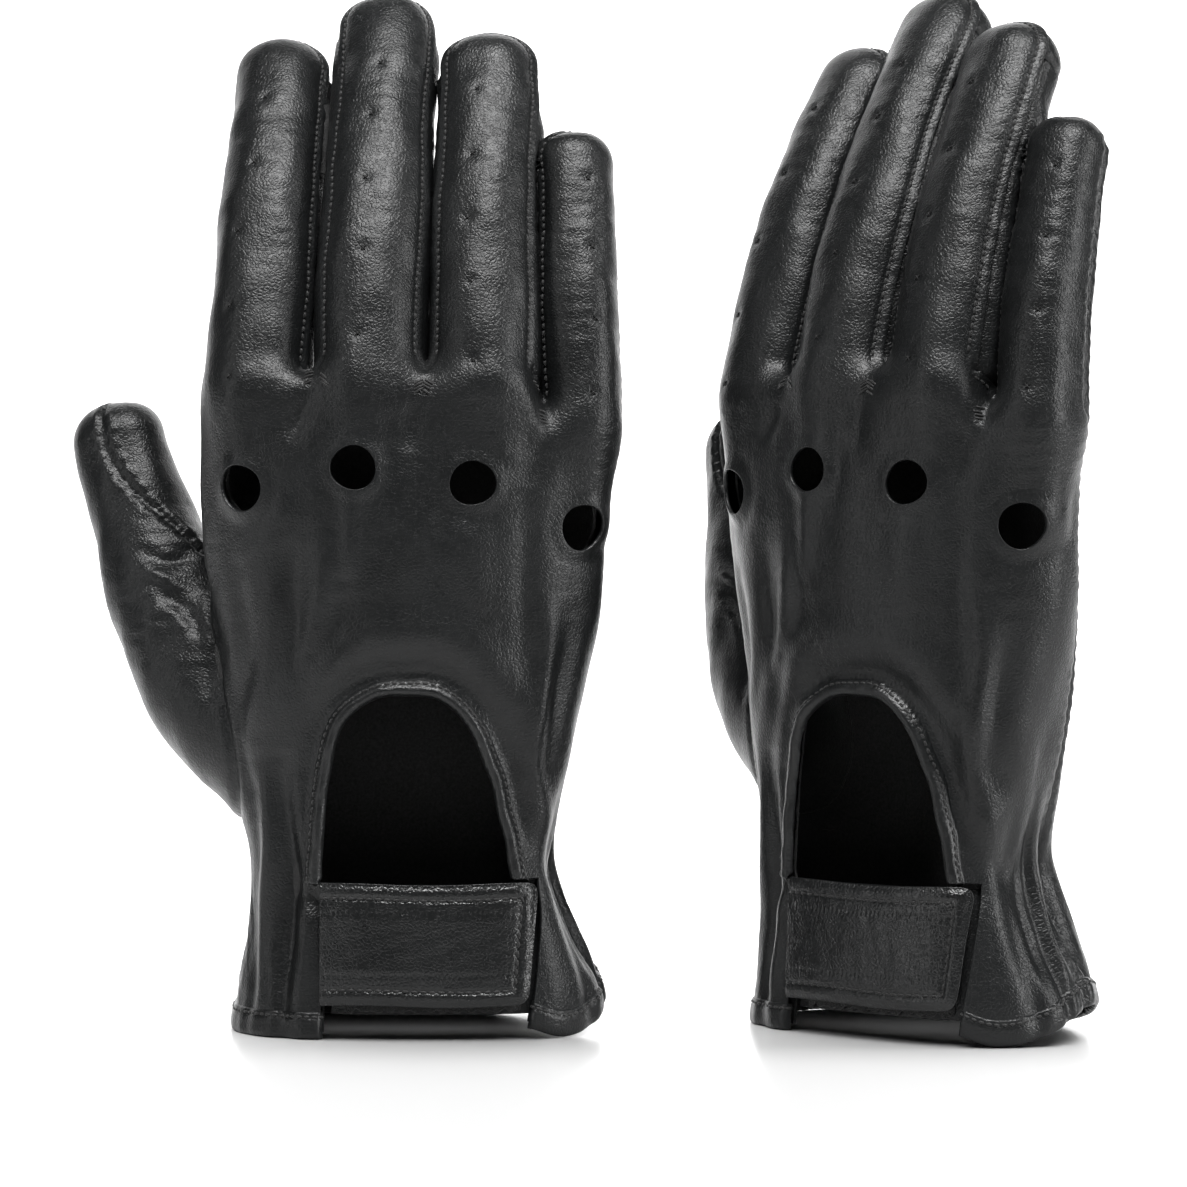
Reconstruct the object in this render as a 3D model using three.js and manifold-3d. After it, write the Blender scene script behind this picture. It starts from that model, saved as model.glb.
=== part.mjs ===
// Two leather driving gloves that stand side by side on their cuffs, each closed by a
// hook-and-loop strap across the wrist.
//
// Units are millimetres. Each glove is modelled in its own frame: +X towards the little finger,
// +Y towards the palm, +Z towards the fingertips, with the origin in the middle of the cuff's mouth.
// Angles around a glove or a finger are in degrees: 0 at the little-finger side, 90 at the palm,
// 180 at the thumb side and 270 at the back.
import * as THREE from "three";
import { mergeVertices } from "three/addons/utils/BufferGeometryUtils.js";
import Module from "manifold-3d";

const wasm = await Module();
wasm.setup();

// ---- Driving dimensions ----
const LEATHER = 1.0; // thickness of every leather panel
const GAP = 0.3; // clearance between neighbouring pieces
const TURN = -40; // how far the second glove is turned about the vertical, degrees
const PLACES = [
  [-42, 0],
  [70.5, 0],
]; // where each glove's origin stands
const SIDE_SEAM = 15; // angle of the seam below the little finger
const FOLD_SEAM = 158; // angle of the seam between palm and back on the thumb side
const HEM_HEIGHT = 6;
const HEM_RISE = 5; // how far the hem climbs at the palm corner below the little finger
const HEM_ENDS = [-56, 244]; // where the hem stops on either side of the strap, degrees
const HEM_DEPTHS = [-0.8, 1.8]; // outside and inside face of the hem, below the leather's surface
const SLOT_TOP = 35.3; // top of the gap in the back panel that the strap crosses
const SLOT_THUMB = -18.3; // the gap's edge at the strap's root
const SLOT_LITTLE = [
  [27.5, -20],
  [30, -14],
]; // x and y of the gap's other edge, at the cuff's mouth and at its top
const STRAP = { from: -17.9, to: [26.6, 28.8], low: 7.8, high: 34.6, depths: [-1.2, -0.3] };
const HOOK_PAD = { from: -4, to: [24.6, 26], low: 10.5, high: 32, depths: [0, 0.8] };
const LOOP_PAD = { from: -12, to: [25.5, 27], low: 8.5, high: 33, depths: [1.1, 1.9] };
const TAB = { from: 246, to: 357, low: 6.6, high: 33.6, depths: [2.2, 3.1] }; // from and to in degrees
const TAB_LIFT = 0.6; // how much the closure tab rises where it is sewn inside the back panel
const BINDING_WIDTH = 3.6;
const BINDING_DEPTHS = [-0.8, 1.8];
const ELASTIC = { from: 28, to: 150, low: 36, high: 43, depths: [1.3, 2.2] };
const KNUCKLE_HOLE = 4.7; // radius
const FINGER_SEAM = 55; // half-width of a finger's back and palm strips, degrees
const TIP_START = 0.9; // share of a digit's length where the palm strip wraps over the tip

// Sections up the hand. x is the middle, half the half-width, and the widest line lies at y;
// back and palm are the depths on either side of it. thumb and little are the roundness on
// those two sides: 2 is an ellipse, and more is squarer.
const HAND = [
  { z: 0, x: 2.2, half: 42, y: 3, back: 26, palm: 27, thumb: 2.4, little: 2.6 },
  { z: 10, x: 2.1, half: 40.5, y: 2, back: 24.5, palm: 25, thumb: 2.3, little: 3 },
  { z: 22, x: 0.3, half: 36.8, y: 1, back: 22.5, palm: 22, thumb: 2.2, little: 3.6 },
  { z: 38, x: -1.7, half: 33.7, y: 0, back: 21, palm: 20, thumb: 2.2, little: 4 },
  { z: 55, x: -2, half: 35.8, y: 1, back: 21.5, palm: 20, thumb: 2.2, little: 3.2 },
  { z: 75, x: -1, half: 39.5, y: 1, back: 22.5, palm: 20, thumb: 2.2, little: 2.6 },
  { z: 100, x: -0.8, half: 44.2, y: 0, back: 23.5, palm: 18, thumb: 2.1, little: 2.2 },
  { z: 125, x: -0.4, half: 46, y: -1, back: 23.5, palm: 16, thumb: 2.1, little: 2.1 },
  { z: 150, x: 1, half: 46.8, y: -3, back: 19.5, palm: 12, thumb: 2.3, little: 2.3 },
];
const KNUCKLES = [
  [-36, 124],
  [-10.7, 126],
  [15.6, 123.5],
  [39.8, 114],
]; // x and z of each knuckle hole
// The inner edge of the opening on the back, from the thumb side round to the little finger.
const KEYHOLE = [
  [-18.2, 35.3],
  [-17.5, 48],
  [-14.5, 63],
  [-9, 72.5],
  [1, 75.5],
  [10, 73.5],
  [16.5, 64],
  [21, 50],
  [24.2, 35.3],
];
// base is the middle of a finger's root and tip the middle of its end; half widths and depths
// are at the root and the tip; lean is the forward angle at the root and the tip, in degrees.
const FINGERS = {
  index: {
    base: [-34.6, -3.5, 147],
    tip: [-29.4, 32, 226],
    half: [10.8, 10.3],
    depth: [10, 8.5],
    lean: [12, 36],
  },
  middle: {
    base: [-7.2, -8, 148],
    tip: [-5.4, 31, 235],
    half: [11, 11],
    depth: [10.5, 9],
    lean: [12, 36],
  },
  ring: {
    base: [17, -8, 146],
    tip: [17.6, 22, 226],
    half: [10.5, 10.5],
    depth: [10.2, 8.8],
    lean: [10, 30],
  },
  little: {
    base: [39, -3, 139],
    tip: [37.3, 11, 202],
    half: [9.1, 8.4],
    depth: [9.2, 7.5],
    lean: [6, 20],
  },
};
// The thumb's middle line, with its half-width and half-depth, from inside the palm to the tip.
const THUMB = [
  { at: [-24, 3, 52], half: 11, depth: 10 },
  { at: [-38, 8, 66], half: 14, depth: 13 },
  { at: [-47, 13, 79], half: 15.5, depth: 13.5 },
  { at: [-56, 19.5, 97], half: 14, depth: 12 },
  { at: [-63, 26, 115], half: 12, depth: 10.8 },
  { at: [-68, 30.5, 129], half: 11, depth: 9.8 },
  { at: [-71, 33, 142], half: 10, depth: 8.5 },
];
const THUMB_ROOT = 0.53; // share of the thumb's line where the moving part begins
const THUMB_SEAMS = [20, 200]; // angles of the thumb's two long seams

// ---- Materials ----
const material = (color, roughness) => new THREE.MeshStandardMaterial({ color, roughness, metalness: 0 });
const leather = () => material(0x26292a, 0.5);
const binding = () => material(0x1c1f1e, 0.6);
const fastener = () => material(0x101010, 0.95);
const elastic = () => material(0x18181a, 0.85);

// ---- Small helpers ----
const radians = THREE.MathUtils.degToRad;
const mix = THREE.MathUtils.lerp;
const signedPower = (value, power) => Math.sign(value) * Math.abs(value) ** power;

// A smooth curve through rows of { z, ... }, giving every other field at a height.
function between(rows, z, field) {
  const last = rows.length - 1;
  const i = THREE.MathUtils.clamp(rows.findIndex((row) => row.z > z) - 1, 0, last - 1);
  const at = z >= rows[last].z ? last - 1 : i;
  const [a, b] = [rows[at], rows[at + 1]];
  const slope = (k) => {
    const [low, high] = [rows[Math.max(k - 1, 0)], rows[Math.min(k + 1, last)]];
    return (high[field] - low[field]) / (high.z - low.z);
  };
  const span = b.z - a.z;
  const s = THREE.MathUtils.clamp((z - a.z) / span, 0, 1.2);
  const [s2, s3] = [s * s, s * s * s];
  return (
    (2 * s3 - 3 * s2 + 1) * a[field] +
    (s3 - 2 * s2 + s) * span * slope(at) +
    (3 * s2 - 2 * s3) * b[field] +
    (s3 - s2) * span * slope(at + 1)
  );
}

// A closed shell of `rows` by `columns` cells. point(v, u, depth) gives a point on the surface
// `depth` below the outside; depths holds the outer and inner depth. wrap joins the last column
// to the first, pole shrinks the last row to a point, and on(i, j) says which cells exist.
function shell(rows, columns, point, depths, { wrap = false, pole = false, on = () => true } = {}) {
  const positions = [];
  const triangles = [];
  const known = new Map();
  const vertex = (i, j, side) => {
    const column = pole && i === rows ? 0 : wrap ? j % columns : j;
    const key = `${i},${column},${side}`;
    if (!known.has(key)) {
      known.set(key, positions.length / 3);
      positions.push(...point(i / rows, column / columns, depths[side]).toArray());
    }
    return known.get(key);
  };
  const triangle = (a, b, c) => {
    if (a !== b && b !== c && c !== a) triangles.push(a, b, c);
  };
  const quad = (a, b, c, d) => {
    triangle(a, b, c);
    triangle(a, c, d);
  };
  const exists = (i, j) => {
    if (i < 0 || i >= rows) return false;
    if (!wrap && (j < 0 || j >= columns)) return false;
    return on(i, (j + columns) % columns);
  };
  for (let i = 0; i < rows; i++) {
    for (let j = 0; j < columns; j++) {
      if (!exists(i, j)) continue;
      const corners = [[i, j], [i, j + 1], [i + 1, j + 1], [i + 1, j]];
      const outer = corners.map(([a, b]) => vertex(a, b, 0));
      const inner = corners.map(([a, b]) => vertex(a, b, 1));
      quad(...outer);
      quad(...inner.toReversed());
      const beyond = [[i - 1, j], [i, j + 1], [i + 1, j], [i, j - 1]];
      beyond.forEach(([a, b], edge) => {
        const closed = pole && a === rows;
        if (exists(a, b) || closed) return;
        const next = (edge + 1) % 4;
        quad(outer[next], outer[edge], inner[edge], inner[next]);
      });
    }
  }
  return facingOut(positions, triangles);
}

// A geometry whose faces point outwards, whichever way its triangles were listed.
function facingOut(positions, triangles) {
  const corner = (k) => new THREE.Vector3().fromArray(positions, 3 * k);
  let volume = 0;
  for (let k = 0; k < triangles.length; k += 3) {
    const [a, b, c] = triangles.slice(k, k + 3).map(corner);
    volume += a.dot(b.cross(c));
  }
  if (volume < 0) triangles.reverse();
  const geometry = new THREE.BufferGeometry();
  geometry.setAttribute("position", new THREE.Float32BufferAttribute(positions, 3));
  geometry.setIndex(triangles);
  return geometry;
}

// Solids for cutting, and back again.
function solid(geometry) {
  const bare = geometry.clone();
  bare.deleteAttribute("normal");
  bare.deleteAttribute("uv");
  const merged = mergeVertices(bare, 1e-4);
  return new wasm.Manifold(
    new wasm.Mesh({
      numProp: 3,
      vertProperties: merged.attributes.position.array,
      triVerts: new Uint32Array(merged.index.array),
    }),
  );
}
function geometryOf(manifold) {
  const mesh = manifold.getMesh();
  const geometry = new THREE.BufferGeometry();
  geometry.setAttribute("position", new THREE.BufferAttribute(mesh.vertProperties, 3));
  geometry.setIndex(new THREE.BufferAttribute(mesh.triVerts, 1));
  return geometry;
}
const largest = (manifold) => manifold.decompose().sort((a, b) => b.volume() - a.volume())[0];

// ---- The hand's surface ----
function handPoint(angle, z, depth) {
  const get = (field) => between(HAND, z, field);
  const turn = radians(angle);
  const power = 2 / get(Math.cos(turn) < 0 ? "thumb" : "little");
  const deep = Math.sin(turn) < 0 ? get("back") : get("palm");
  return new THREE.Vector3(
    get("x") + (get("half") - depth) * signedPower(Math.cos(turn), power),
    get("y") + (deep - depth) * signedPower(Math.sin(turn), power),
    z,
  );
}

// The same surface on the back of the glove, reached from above a point x, z.
function backPoint(x, z, depth) {
  const get = (field) => between(HAND, z, field);
  const power = get(x < get("x") ? "thumb" : "little");
  const share = Math.min(Math.abs(x - get("x")) / (get("half") - depth), 1);
  const y = get("y") - (get("back") - depth) * (1 - share ** power) ** (1 / power);
  return new THREE.Vector3(x, y, z);
}

// The hem's lower edge: level, but for a rise at the palm corner below the little finger.
function hemFoot(angle) {
  const away = Math.abs(angle - 40) / 48;
  return away < 1 ? HEM_RISE * (0.5 + 0.5 * Math.cos(Math.PI * away)) : 0;
}

// The height where the hand ends and the fingers begin. The little finger starts lower.
function handTop(x, y) {
  const step = THREE.MathUtils.smoothstep(x, 26, 30);
  const height = mix(FINGERS.middle.base[2], FINGERS.little.base[2], step) - 1;
  const lean = radians(mix(FINGERS.middle.lean[0], FINGERS.little.lean[0], step));
  const root = mix(FINGERS.middle.base[1], FINGERS.little.base[1], step);
  return height - (y - root) * Math.tan(lean) - GAP;
}

function handPanel(from, to, columns) {
  const inset = 0.25; // half the gap at a seam, in degrees around the hand
  const point = (v, u, depth) => {
    const angle = mix(from + inset, to - inset, u);
    const low = hemFoot(angle % 360) + HEM_HEIGHT + GAP;
    const top = handPoint(angle, 145, 0);
    return handPoint(angle, mix(low, handTop(top.x, top.y), v), depth);
  };
  return shell(11, columns, point, [0, LEATHER]);
}

// A prism along Y over an outline of [x, z] points.
function prism(points, fromY, toY) {
  const outline = new THREE.Shape(points.map(([x, z]) => new THREE.Vector2(x, -z)));
  const made = new THREE.ExtrudeGeometry(outline, { depth: toY - fromY, bevelEnabled: false });
  return solid(made.applyMatrix4(standUp(fromY)));
}
// Carries an outline drawn in X and minus Z, and its depth in Z, to stand along Y.
function standUp(fromY) {
  return new THREE.Matrix4().set(1, 0, 0, 0, 0, 0, 1, fromY, 0, -1, 0, 0, 0, 0, 0, 1);
}

// The keyhole's edge, widened outwards by a distance.
function keyholeEdge(outwards, count) {
  const curve = new THREE.CatmullRomCurve3(KEYHOLE.map(([x, z]) => new THREE.Vector3(x, 0, z)));
  return Array.from({ length: count + 1 }, (_, k) => {
    const tangent = curve.getTangentAt(k / count);
    const place = curve.getPointAt(k / count);
    return [place.x - tangent.z * outwards, place.z + tangent.x * outwards];
  });
}

// ---- Digits ----
// Every digit is { curve, half(t), depth(t) }, with t from 0 at the root to 1 at the tip.
function finger({ base, tip, half, depth, lean }) {
  const [a, b] = lean.map(radians);
  const rise = (t) => Math.sin(mix(a, b, t)) - Math.sin(a);
  const reach = (t) => Math.cos(a) - Math.cos(mix(a, b, t));
  const points = [0, 0.25, 0.5, 0.75, 1].map(
    (t) =>
      new THREE.Vector3(
        mix(base[0], tip[0], t),
        mix(base[1], tip[1], reach(t) / reach(1)),
        mix(base[2], tip[2], rise(t) / rise(1)),
      ),
  );
  const curve = new THREE.CatmullRomCurve3(points);
  return rounded(curve, (t) => mix(...half, t), (t) => mix(...depth, t));
}
function thumb() {
  const curve = new THREE.CatmullRomCurve3(THUMB.map(({ at }) => new THREE.Vector3(...at)));
  const rows = THUMB.map((row, k) => ({ ...row, z: k / (THUMB.length - 1) }));
  const along = (t) => curve.getUtoTmapping(t);
  return rounded(curve, (t) => between(rows, along(t), "half"), (t) => between(rows, along(t), "depth"));
}
// Ends a digit in a round tip as long as it is deep.
function rounded(curve, half, depth) {
  const start = 1 - half(1) / curve.getLength();
  const cap = (t) => Math.sqrt(Math.max(1 - (Math.max(t - start, 0) / (1 - start)) ** 2, 0));
  return { curve, start, half: (t) => half(t) * cap(t), depth: (t) => depth(t) * cap(t) };
}
function digitPoint(digit, t, angle, depth) {
  const tangent = digit.curve.getTangentAt(t);
  const palmward = new THREE.Vector3(0, 1, 0).projectOnPlane(tangent).normalize();
  const sideways = new THREE.Vector3().crossVectors(palmward, tangent);
  const turn = radians(angle);
  const across = Math.max(digit.half(t) - depth, 0) * signedPower(Math.cos(turn), 0.88);
  const through = Math.max(digit.depth(t) - depth, 0) * signedPower(Math.sin(turn), 0.88);
  const end = t > digit.start ? depth * ((t - digit.start) / (1 - digit.start)) : 0;
  return digit.curve
    .getPointAt(t)
    .addScaledVector(sideways, across)
    .addScaledVector(palmward, through)
    .addScaledVector(tangent, -end);
}
// A long strip of a digit between two angles, ending before the tip cap.
function strip(digit, from, to, columns, { root = 0, straight = 8 } = {}) {
  const inset = 0.9; // half the gap at a seam, in degrees around a finger
  const end = TIP_START - GAP / digit.curve.getLength();
  const point = (v, u, depth) =>
    digitPoint(digit, mix(root, end, v), mix(from + inset, to - inset, u), depth);
  return shell(straight, columns, point, [0, LEATHER]);
}

// The palm strip of a digit, which widens into the cap that closes the tip.
function strippedTip(digit, from, to, columns, { root = 0, straight = 8, extra = 8 } = {}) {
  const inset = 0.9;
  const body = Array.from({ length: straight }, (_, k) => mix(root, TIP_START, k / straight));
  const arc = 5;
  for (let k = 0; k <= arc; k++) {
    body.push(mix(TIP_START, 1, Math.sin((k / arc) * (Math.PI / 2))));
  }
  const around = Array.from({ length: columns + 1 }, (_, k) => mix(from + inset, to - inset, k / columns));
  for (let k = 1; k < extra; k++) around.push(mix(to - inset, from + inset + 360, k / extra));
  const point = (v, u, depth) => {
    const row = Math.round(v * (body.length - 1));
    const column = Math.round(u * around.length);
    return digitPoint(digit, body[row], around[column], depth);
  };
  const on = (i, j) => i >= straight || j < columns;
  return shell(body.length - 1, around.length, point, [0, LEATHER], { wrap: true, pole: true, on });
}

// A closed tube or a solid of a digit, for cutting.
function digitSolid(digit, from, to, depth) {
  const rows = 8;
  const columns = 18;
  const ring = (i) =>
    Array.from({ length: columns }, (_, j) => digitPoint(digit, mix(from, to, i / rows), (360 * j) / columns, depth));
  return lofted(Array.from({ length: rows + 1 }, (_, i) => ring(i)));
}
function handSolid(grow) {
  const columns = 36;
  const heights = [30, 45, 60, 75, 90, 105, 120];
  const ring = (z) => Array.from({ length: columns }, (_, j) => handPoint((360 * j) / columns, z, -grow));
  return lofted(heights.map(ring));
}
// A solid through rings of points, closed by a fan at each end.
function lofted(rings) {
  const columns = rings[0].length;
  const positions = rings.flat().flatMap((p) => p.toArray());
  const middle = (ring) => ring.reduce((sum, p) => sum.add(p), new THREE.Vector3()).divideScalar(columns);
  positions.push(...middle(rings[0]).toArray(), ...middle(rings.at(-1)).toArray());
  const [foot, top] = [columns * rings.length, columns * rings.length + 1];
  const triangles = [];
  for (let j = 0; j < columns; j++) {
    const next = (j + 1) % columns;
    for (let i = 0; i < rings.length - 1; i++) {
      const [a, b, c, d] = [i * columns + j, i * columns + next, (i + 1) * columns + next, (i + 1) * columns + j];
      triangles.push(a, b, c, a, c, d);
    }
    const last = (rings.length - 1) * columns;
    triangles.push(foot, next, j, top, last + j, last + next);
  }
  return solid(facingOut(positions, triangles));
}

// ---- Pieces of one glove ----
function handPanels(thumbDigit) {
  const cavity = digitSolid(thumbDigit, 0, THUMB_ROOT + 0.1, LEATHER);
  const round = keyholeEdge(BINDING_WIDTH + GAP, 24);
  const keyhole = prism([...round, [round.at(-1)[0], 34], [round[0][0], 34]], -60, -4);
  let back = solid(handPanel(FOLD_SEAM, SIDE_SEAM + 360, 26)).subtract(keyhole);
  back = back.subtract(strapSlot()).subtract(cavity);
  for (const [x, z] of KNUCKLES) back = back.subtract(knuckleDrill(x, z));
  const palm = solid(handPanel(SIDE_SEAM, FOLD_SEAM, 14)).subtract(cavity);
  return { back_panel: geometryOf(largest(back)), palm_panel: geometryOf(largest(palm)) };
}
// The space between the back panel's two lower flaps, where the strap crosses.
function strapSlot() {
  const inner = [20, -6];
  const ring = ([x, y], z) => {
    const beyond = [mix(inner[0], x, 3), mix(inner[1], y, 3)];
    const outline = [[SLOT_THUMB, -70], [SLOT_THUMB, inner[1]], inner, beyond, [beyond[0], -70]];
    return outline.map(([px, py]) => new THREE.Vector3(px, py, z));
  };
  return lofted([ring(SLOT_LITTLE[0], -5), ring(SLOT_LITTLE[1], SLOT_TOP)]);
}
// A drill square to the back of the glove at x, z.
function knuckleDrill(x, z) {
  const drill = new THREE.CylinderGeometry(KNUCKLE_HOLE, KNUCKLE_HOLE, 16, 14);
  const here = backPoint(x, z, 0);
  const slope = backPoint(x + 1, z, 0).sub(backPoint(x - 1, z, 0));
  const outward = new THREE.Vector3(slope.y, -slope.x, 0).normalize();
  drill.applyQuaternion(new THREE.Quaternion().setFromUnitVectors(new THREE.Vector3(0, 1, 0), outward));
  drill.translate(...here.toArray());
  return solid(drill);
}

function hem() {
  const point = (v, u, depth) => {
    const angle = mix(...HEM_ENDS, u);
    const foot = hemFoot(angle);
    return handPoint(angle, foot + v * HEM_HEIGHT, depth);
  };
  return shell(1, 36, point, HEM_DEPTHS);
}

function keyholeBinding() {
  const count = 22;
  const edges = [keyholeEdge(0, count), keyholeEdge(BINDING_WIDTH, count)];
  const point = (v, u, depth) => {
    const [x, z] = edges[Math.round(v)][Math.round(u * count)];
    return backPoint(x, z, depth);
  };
  return shell(1, count, point, BINDING_DEPTHS);
}

// A patch that lies along the back of the wrist. to holds its far end, low down and high up.
function wristPatch({ from, to, low, high, depths }) {
  const point = (v, u, depth) => backPoint(mix(from, mix(...to, v), u), mix(low, high, v), depth);
  return shell(3, 12, point, depths);
}
// The tab below the strap goes on round the wrist, inside the back panel.
function closureTab({ from, to, low, high, depths }) {
  const point = (v, u, depth) => {
    const angle = mix(from, to, u);
    const lift = TAB_LIFT * THREE.MathUtils.smoothstep(angle, 341, 346);
    return handPoint(angle, mix(low, high, v), depth - lift);
  };
  return shell(3, 20, point, depths);
}

function wristElastic() {
  const point = (v, u, depth) =>
    handPoint(mix(ELASTIC.from, ELASTIC.to, u), mix(ELASTIC.low, ELASTIC.high, v), depth);
  return shell(1, 18, point, ELASTIC.depths);
}

// The saddle of leather that closes the crotch between two fingers.
function webGusset(first, second) {
  const left = first.base[0] + first.half[0] + GAP;
  const right = second.base[0] - second.half[0] - GAP;
  const height = Math.min(first.base[2], second.base[2]) - 1.5;
  const y = (first.base[1] + second.base[1]) / 2;
  const reach = 8.5;
  const point = (v, u, depth) => {
    const s = mix(-1, 1, v);
    return new THREE.Vector3(mix(left, right, u), y + s * reach, height + depth - 2.5 * s * s - 2 * s);
  };
  return shell(6, 2, point, [0, LEATHER]);
}

function fingerPieces(name, digit) {
  const inner = 270 - FINGER_SEAM; // the back seam on the thumb side of a finger
  const outer = 270 + FINGER_SEAM; // and on its little-finger side
  const palmInner = 90 + FINGER_SEAM;
  const palmOuter = 90 - FINGER_SEAM;
  const pieces = {};
  const backFrom = name === "index" ? palmInner : inner;
  const backTo = name === "little" ? 360 + palmOuter : outer;
  pieces[`${name}_back`] = strip(digit, backFrom, backTo, name === "index" || name === "little" ? 9 : 6);
  pieces[`${name}_palm`] = strippedTip(digit, palmOuter, palmInner, 6);
  if (name !== "index") pieces[`${name}_fourchette_inner`] = strip(digit, palmInner, inner, 2);
  if (name !== "little") pieces[`${name}_fourchette_outer`] = strip(digit, outer, 360 + palmOuter, 2);
  return pieces;
}

function thumbPieces(digit) {
  const [low, high] = THUMB_SEAMS;
  const sleeve = digitSolid(digit, 0.02, THUMB_ROOT - GAP / digit.curve.getLength(), 0)
    .subtract(digitSolid(digit, 0, THUMB_ROOT + 0.05, LEATHER))
    .subtract(handSolid(GAP));
  return {
    thumb_base: geometryOf(largest(sleeve)),
    thumb_back: strip(digit, high, low + 360, 8, { root: THUMB_ROOT, straight: 5 }),
    thumb_palm: strippedTip(digit, low, high, 8, { root: THUMB_ROOT, straight: 5 }),
  };
}

// Every piece of one glove, by name, as [geometry, material].
function glovePieces() {
  const digits = Object.fromEntries(Object.entries(FINGERS).map(([name, spec]) => [name, finger(spec)]));
  const thumbDigit = thumb();
  const leathers = {
    ...handPanels(thumbDigit),
    ...thumbPieces(thumbDigit),
    strap: wristPatch(STRAP),
    closure_tab: closureTab(TAB),
  };
  for (const [name, digit] of Object.entries(digits)) Object.assign(leathers, fingerPieces(name, digit));
  const names = Object.keys(FINGERS);
  names.slice(1).forEach((name, k) => {
    leathers[`web_gusset_${names[k]}_${name}`] = webGusset(FINGERS[names[k]], FINGERS[name]);
  });
  const pieces = {};
  for (const [name, geometry] of Object.entries(leathers)) pieces[name] = [geometry, leather()];
  pieces.keyhole_binding = [keyholeBinding(), binding()];
  pieces.cuff_hem = [hem(), binding()];
  pieces.hook_pad = [wristPatch(HOOK_PAD), fastener()];
  pieces.loop_pad = [wristPatch(LOOP_PAD), fastener()];
  pieces.wrist_elastic = [wristElastic(), elastic()];
  return pieces;
}

// ---- The pair ----
function glove(number, pieces) {
  const group = new THREE.Group();
  for (const [name, [geometry, look]] of Object.entries(pieces)) {
    const mesh = new THREE.Mesh(geometry, look);
    mesh.name = `${name}_${number}`;
    group.add(mesh);
  }
  const [x, y] = PLACES[number - 1];
  group.position.set(x, y, 0);
  group.rotation.z = number === 2 ? radians(TURN) : 0;
  return group;
}

const pieces = glovePieces();
const pair = new THREE.Group();
pair.add(glove(1, pieces), glove(2, pieces));
// The origin goes to the middle of the pair's footprint, on the surface that it stands on.
const box = new THREE.Box3().setFromObject(pair, true);
const centre = box.getCenter(new THREE.Vector3());
pair.position.set(-centre.x, -centre.y, -box.min.z);

export default pair;
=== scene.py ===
"""Two black leather driving gloves standing on their cuffs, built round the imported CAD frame.

Each glove's leather is shaped in millimetres in the glove's own frame: +X towards the little
finger, +Y towards the palm, +Z towards the fingertips. The hand, fingers and thumb are blended
into one surface, which is cut along its seams into panels. Each panel is then creased, given its
thickness and split where the fingers and thumb bend.
"""

import math

import bpy
import numpy as np
import openvdb as vdb
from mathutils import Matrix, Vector


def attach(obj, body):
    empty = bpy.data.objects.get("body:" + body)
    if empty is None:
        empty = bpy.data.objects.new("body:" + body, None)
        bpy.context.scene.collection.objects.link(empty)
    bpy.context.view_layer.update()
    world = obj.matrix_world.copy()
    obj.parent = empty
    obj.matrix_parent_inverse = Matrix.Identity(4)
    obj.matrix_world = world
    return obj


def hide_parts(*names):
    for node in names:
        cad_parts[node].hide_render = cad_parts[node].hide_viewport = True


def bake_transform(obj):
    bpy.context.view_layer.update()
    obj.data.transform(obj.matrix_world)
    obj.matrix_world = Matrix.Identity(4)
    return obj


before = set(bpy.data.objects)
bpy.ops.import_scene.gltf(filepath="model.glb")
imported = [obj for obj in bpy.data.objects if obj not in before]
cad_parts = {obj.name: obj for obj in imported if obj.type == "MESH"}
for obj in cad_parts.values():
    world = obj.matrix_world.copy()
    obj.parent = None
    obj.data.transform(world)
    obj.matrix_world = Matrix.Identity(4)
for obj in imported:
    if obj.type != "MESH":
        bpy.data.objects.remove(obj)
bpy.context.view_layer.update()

VOXEL = 0.85  # size of the grid that the leather's surface is drawn from, mm
GRID_LOW = np.array([-92.0, -36.0, -4.0])
GRID_HIGH = np.array([56.0, 52.0, 242.0])
PLACES = [(-38.0368, -20.8314, 0.0), (74.4632, -20.8314, -40.0)]  # x, y in mm and turn in degrees
FINGERS = ("index", "middle", "ring", "little")

# Sections up the hand: height, middle x, half-width, y of the widest line, depth to the back, depth
# to the palm, and the roundness on the thumb's side and on the little finger's side.
HAND = np.array([
    [0, 2.2, 42.0, 3.0, 26.0, 27.0, 2.4, 2.6],
    [10, 2.1, 40.5, 2.0, 24.5, 25.0, 2.3, 3.0],
    [22, 0.3, 36.8, 1.0, 22.5, 22.0, 2.2, 3.6],
    [38, -1.7, 33.7, 0.0, 21.0, 20.0, 2.2, 4.0],
    [55, -1.6, 36.4, 1.0, 21.5, 20.0, 2.2, 3.2],
    [75, -0.4, 40.4, 1.0, 22.5, 20.0, 2.2, 2.6],
    [100, -0.5, 44.4, 0.0, 23.3, 18.0, 2.1, 2.2],
    [125, -0.6, 45.6, -1.0, 22.6, 16.0, 2.2, 2.2],
    [150, 0.8, 45.4, -3.0, 19.2, 9.5, 2.6, 2.5],
])
# Each finger: middle of its root, its tip, half-widths and half-depths at both, and its lean.
DIGITS = {
    "index": ((-33.2, -6.0, 147), (-29.6, 30.5, 226), (11.6, 11.0), (11.6, 9.2), (12, 36)),
    "middle": ((-7.8, -10.4, 148), (-5.8, 30, 235), (11.7, 11.2), (12.2, 9.6), (12, 36)),
    "ring": ((17.4, -10.2, 146), (18.0, 21, 226), (11.5, 11.0), (12.0, 9.4), (10, 30)),
    "little": ((39.4, -5.0, 139), (38.0, 10.5, 202.5), (8.8, 9.0), (10.6, 8.2), (6, 20)),
}
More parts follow.
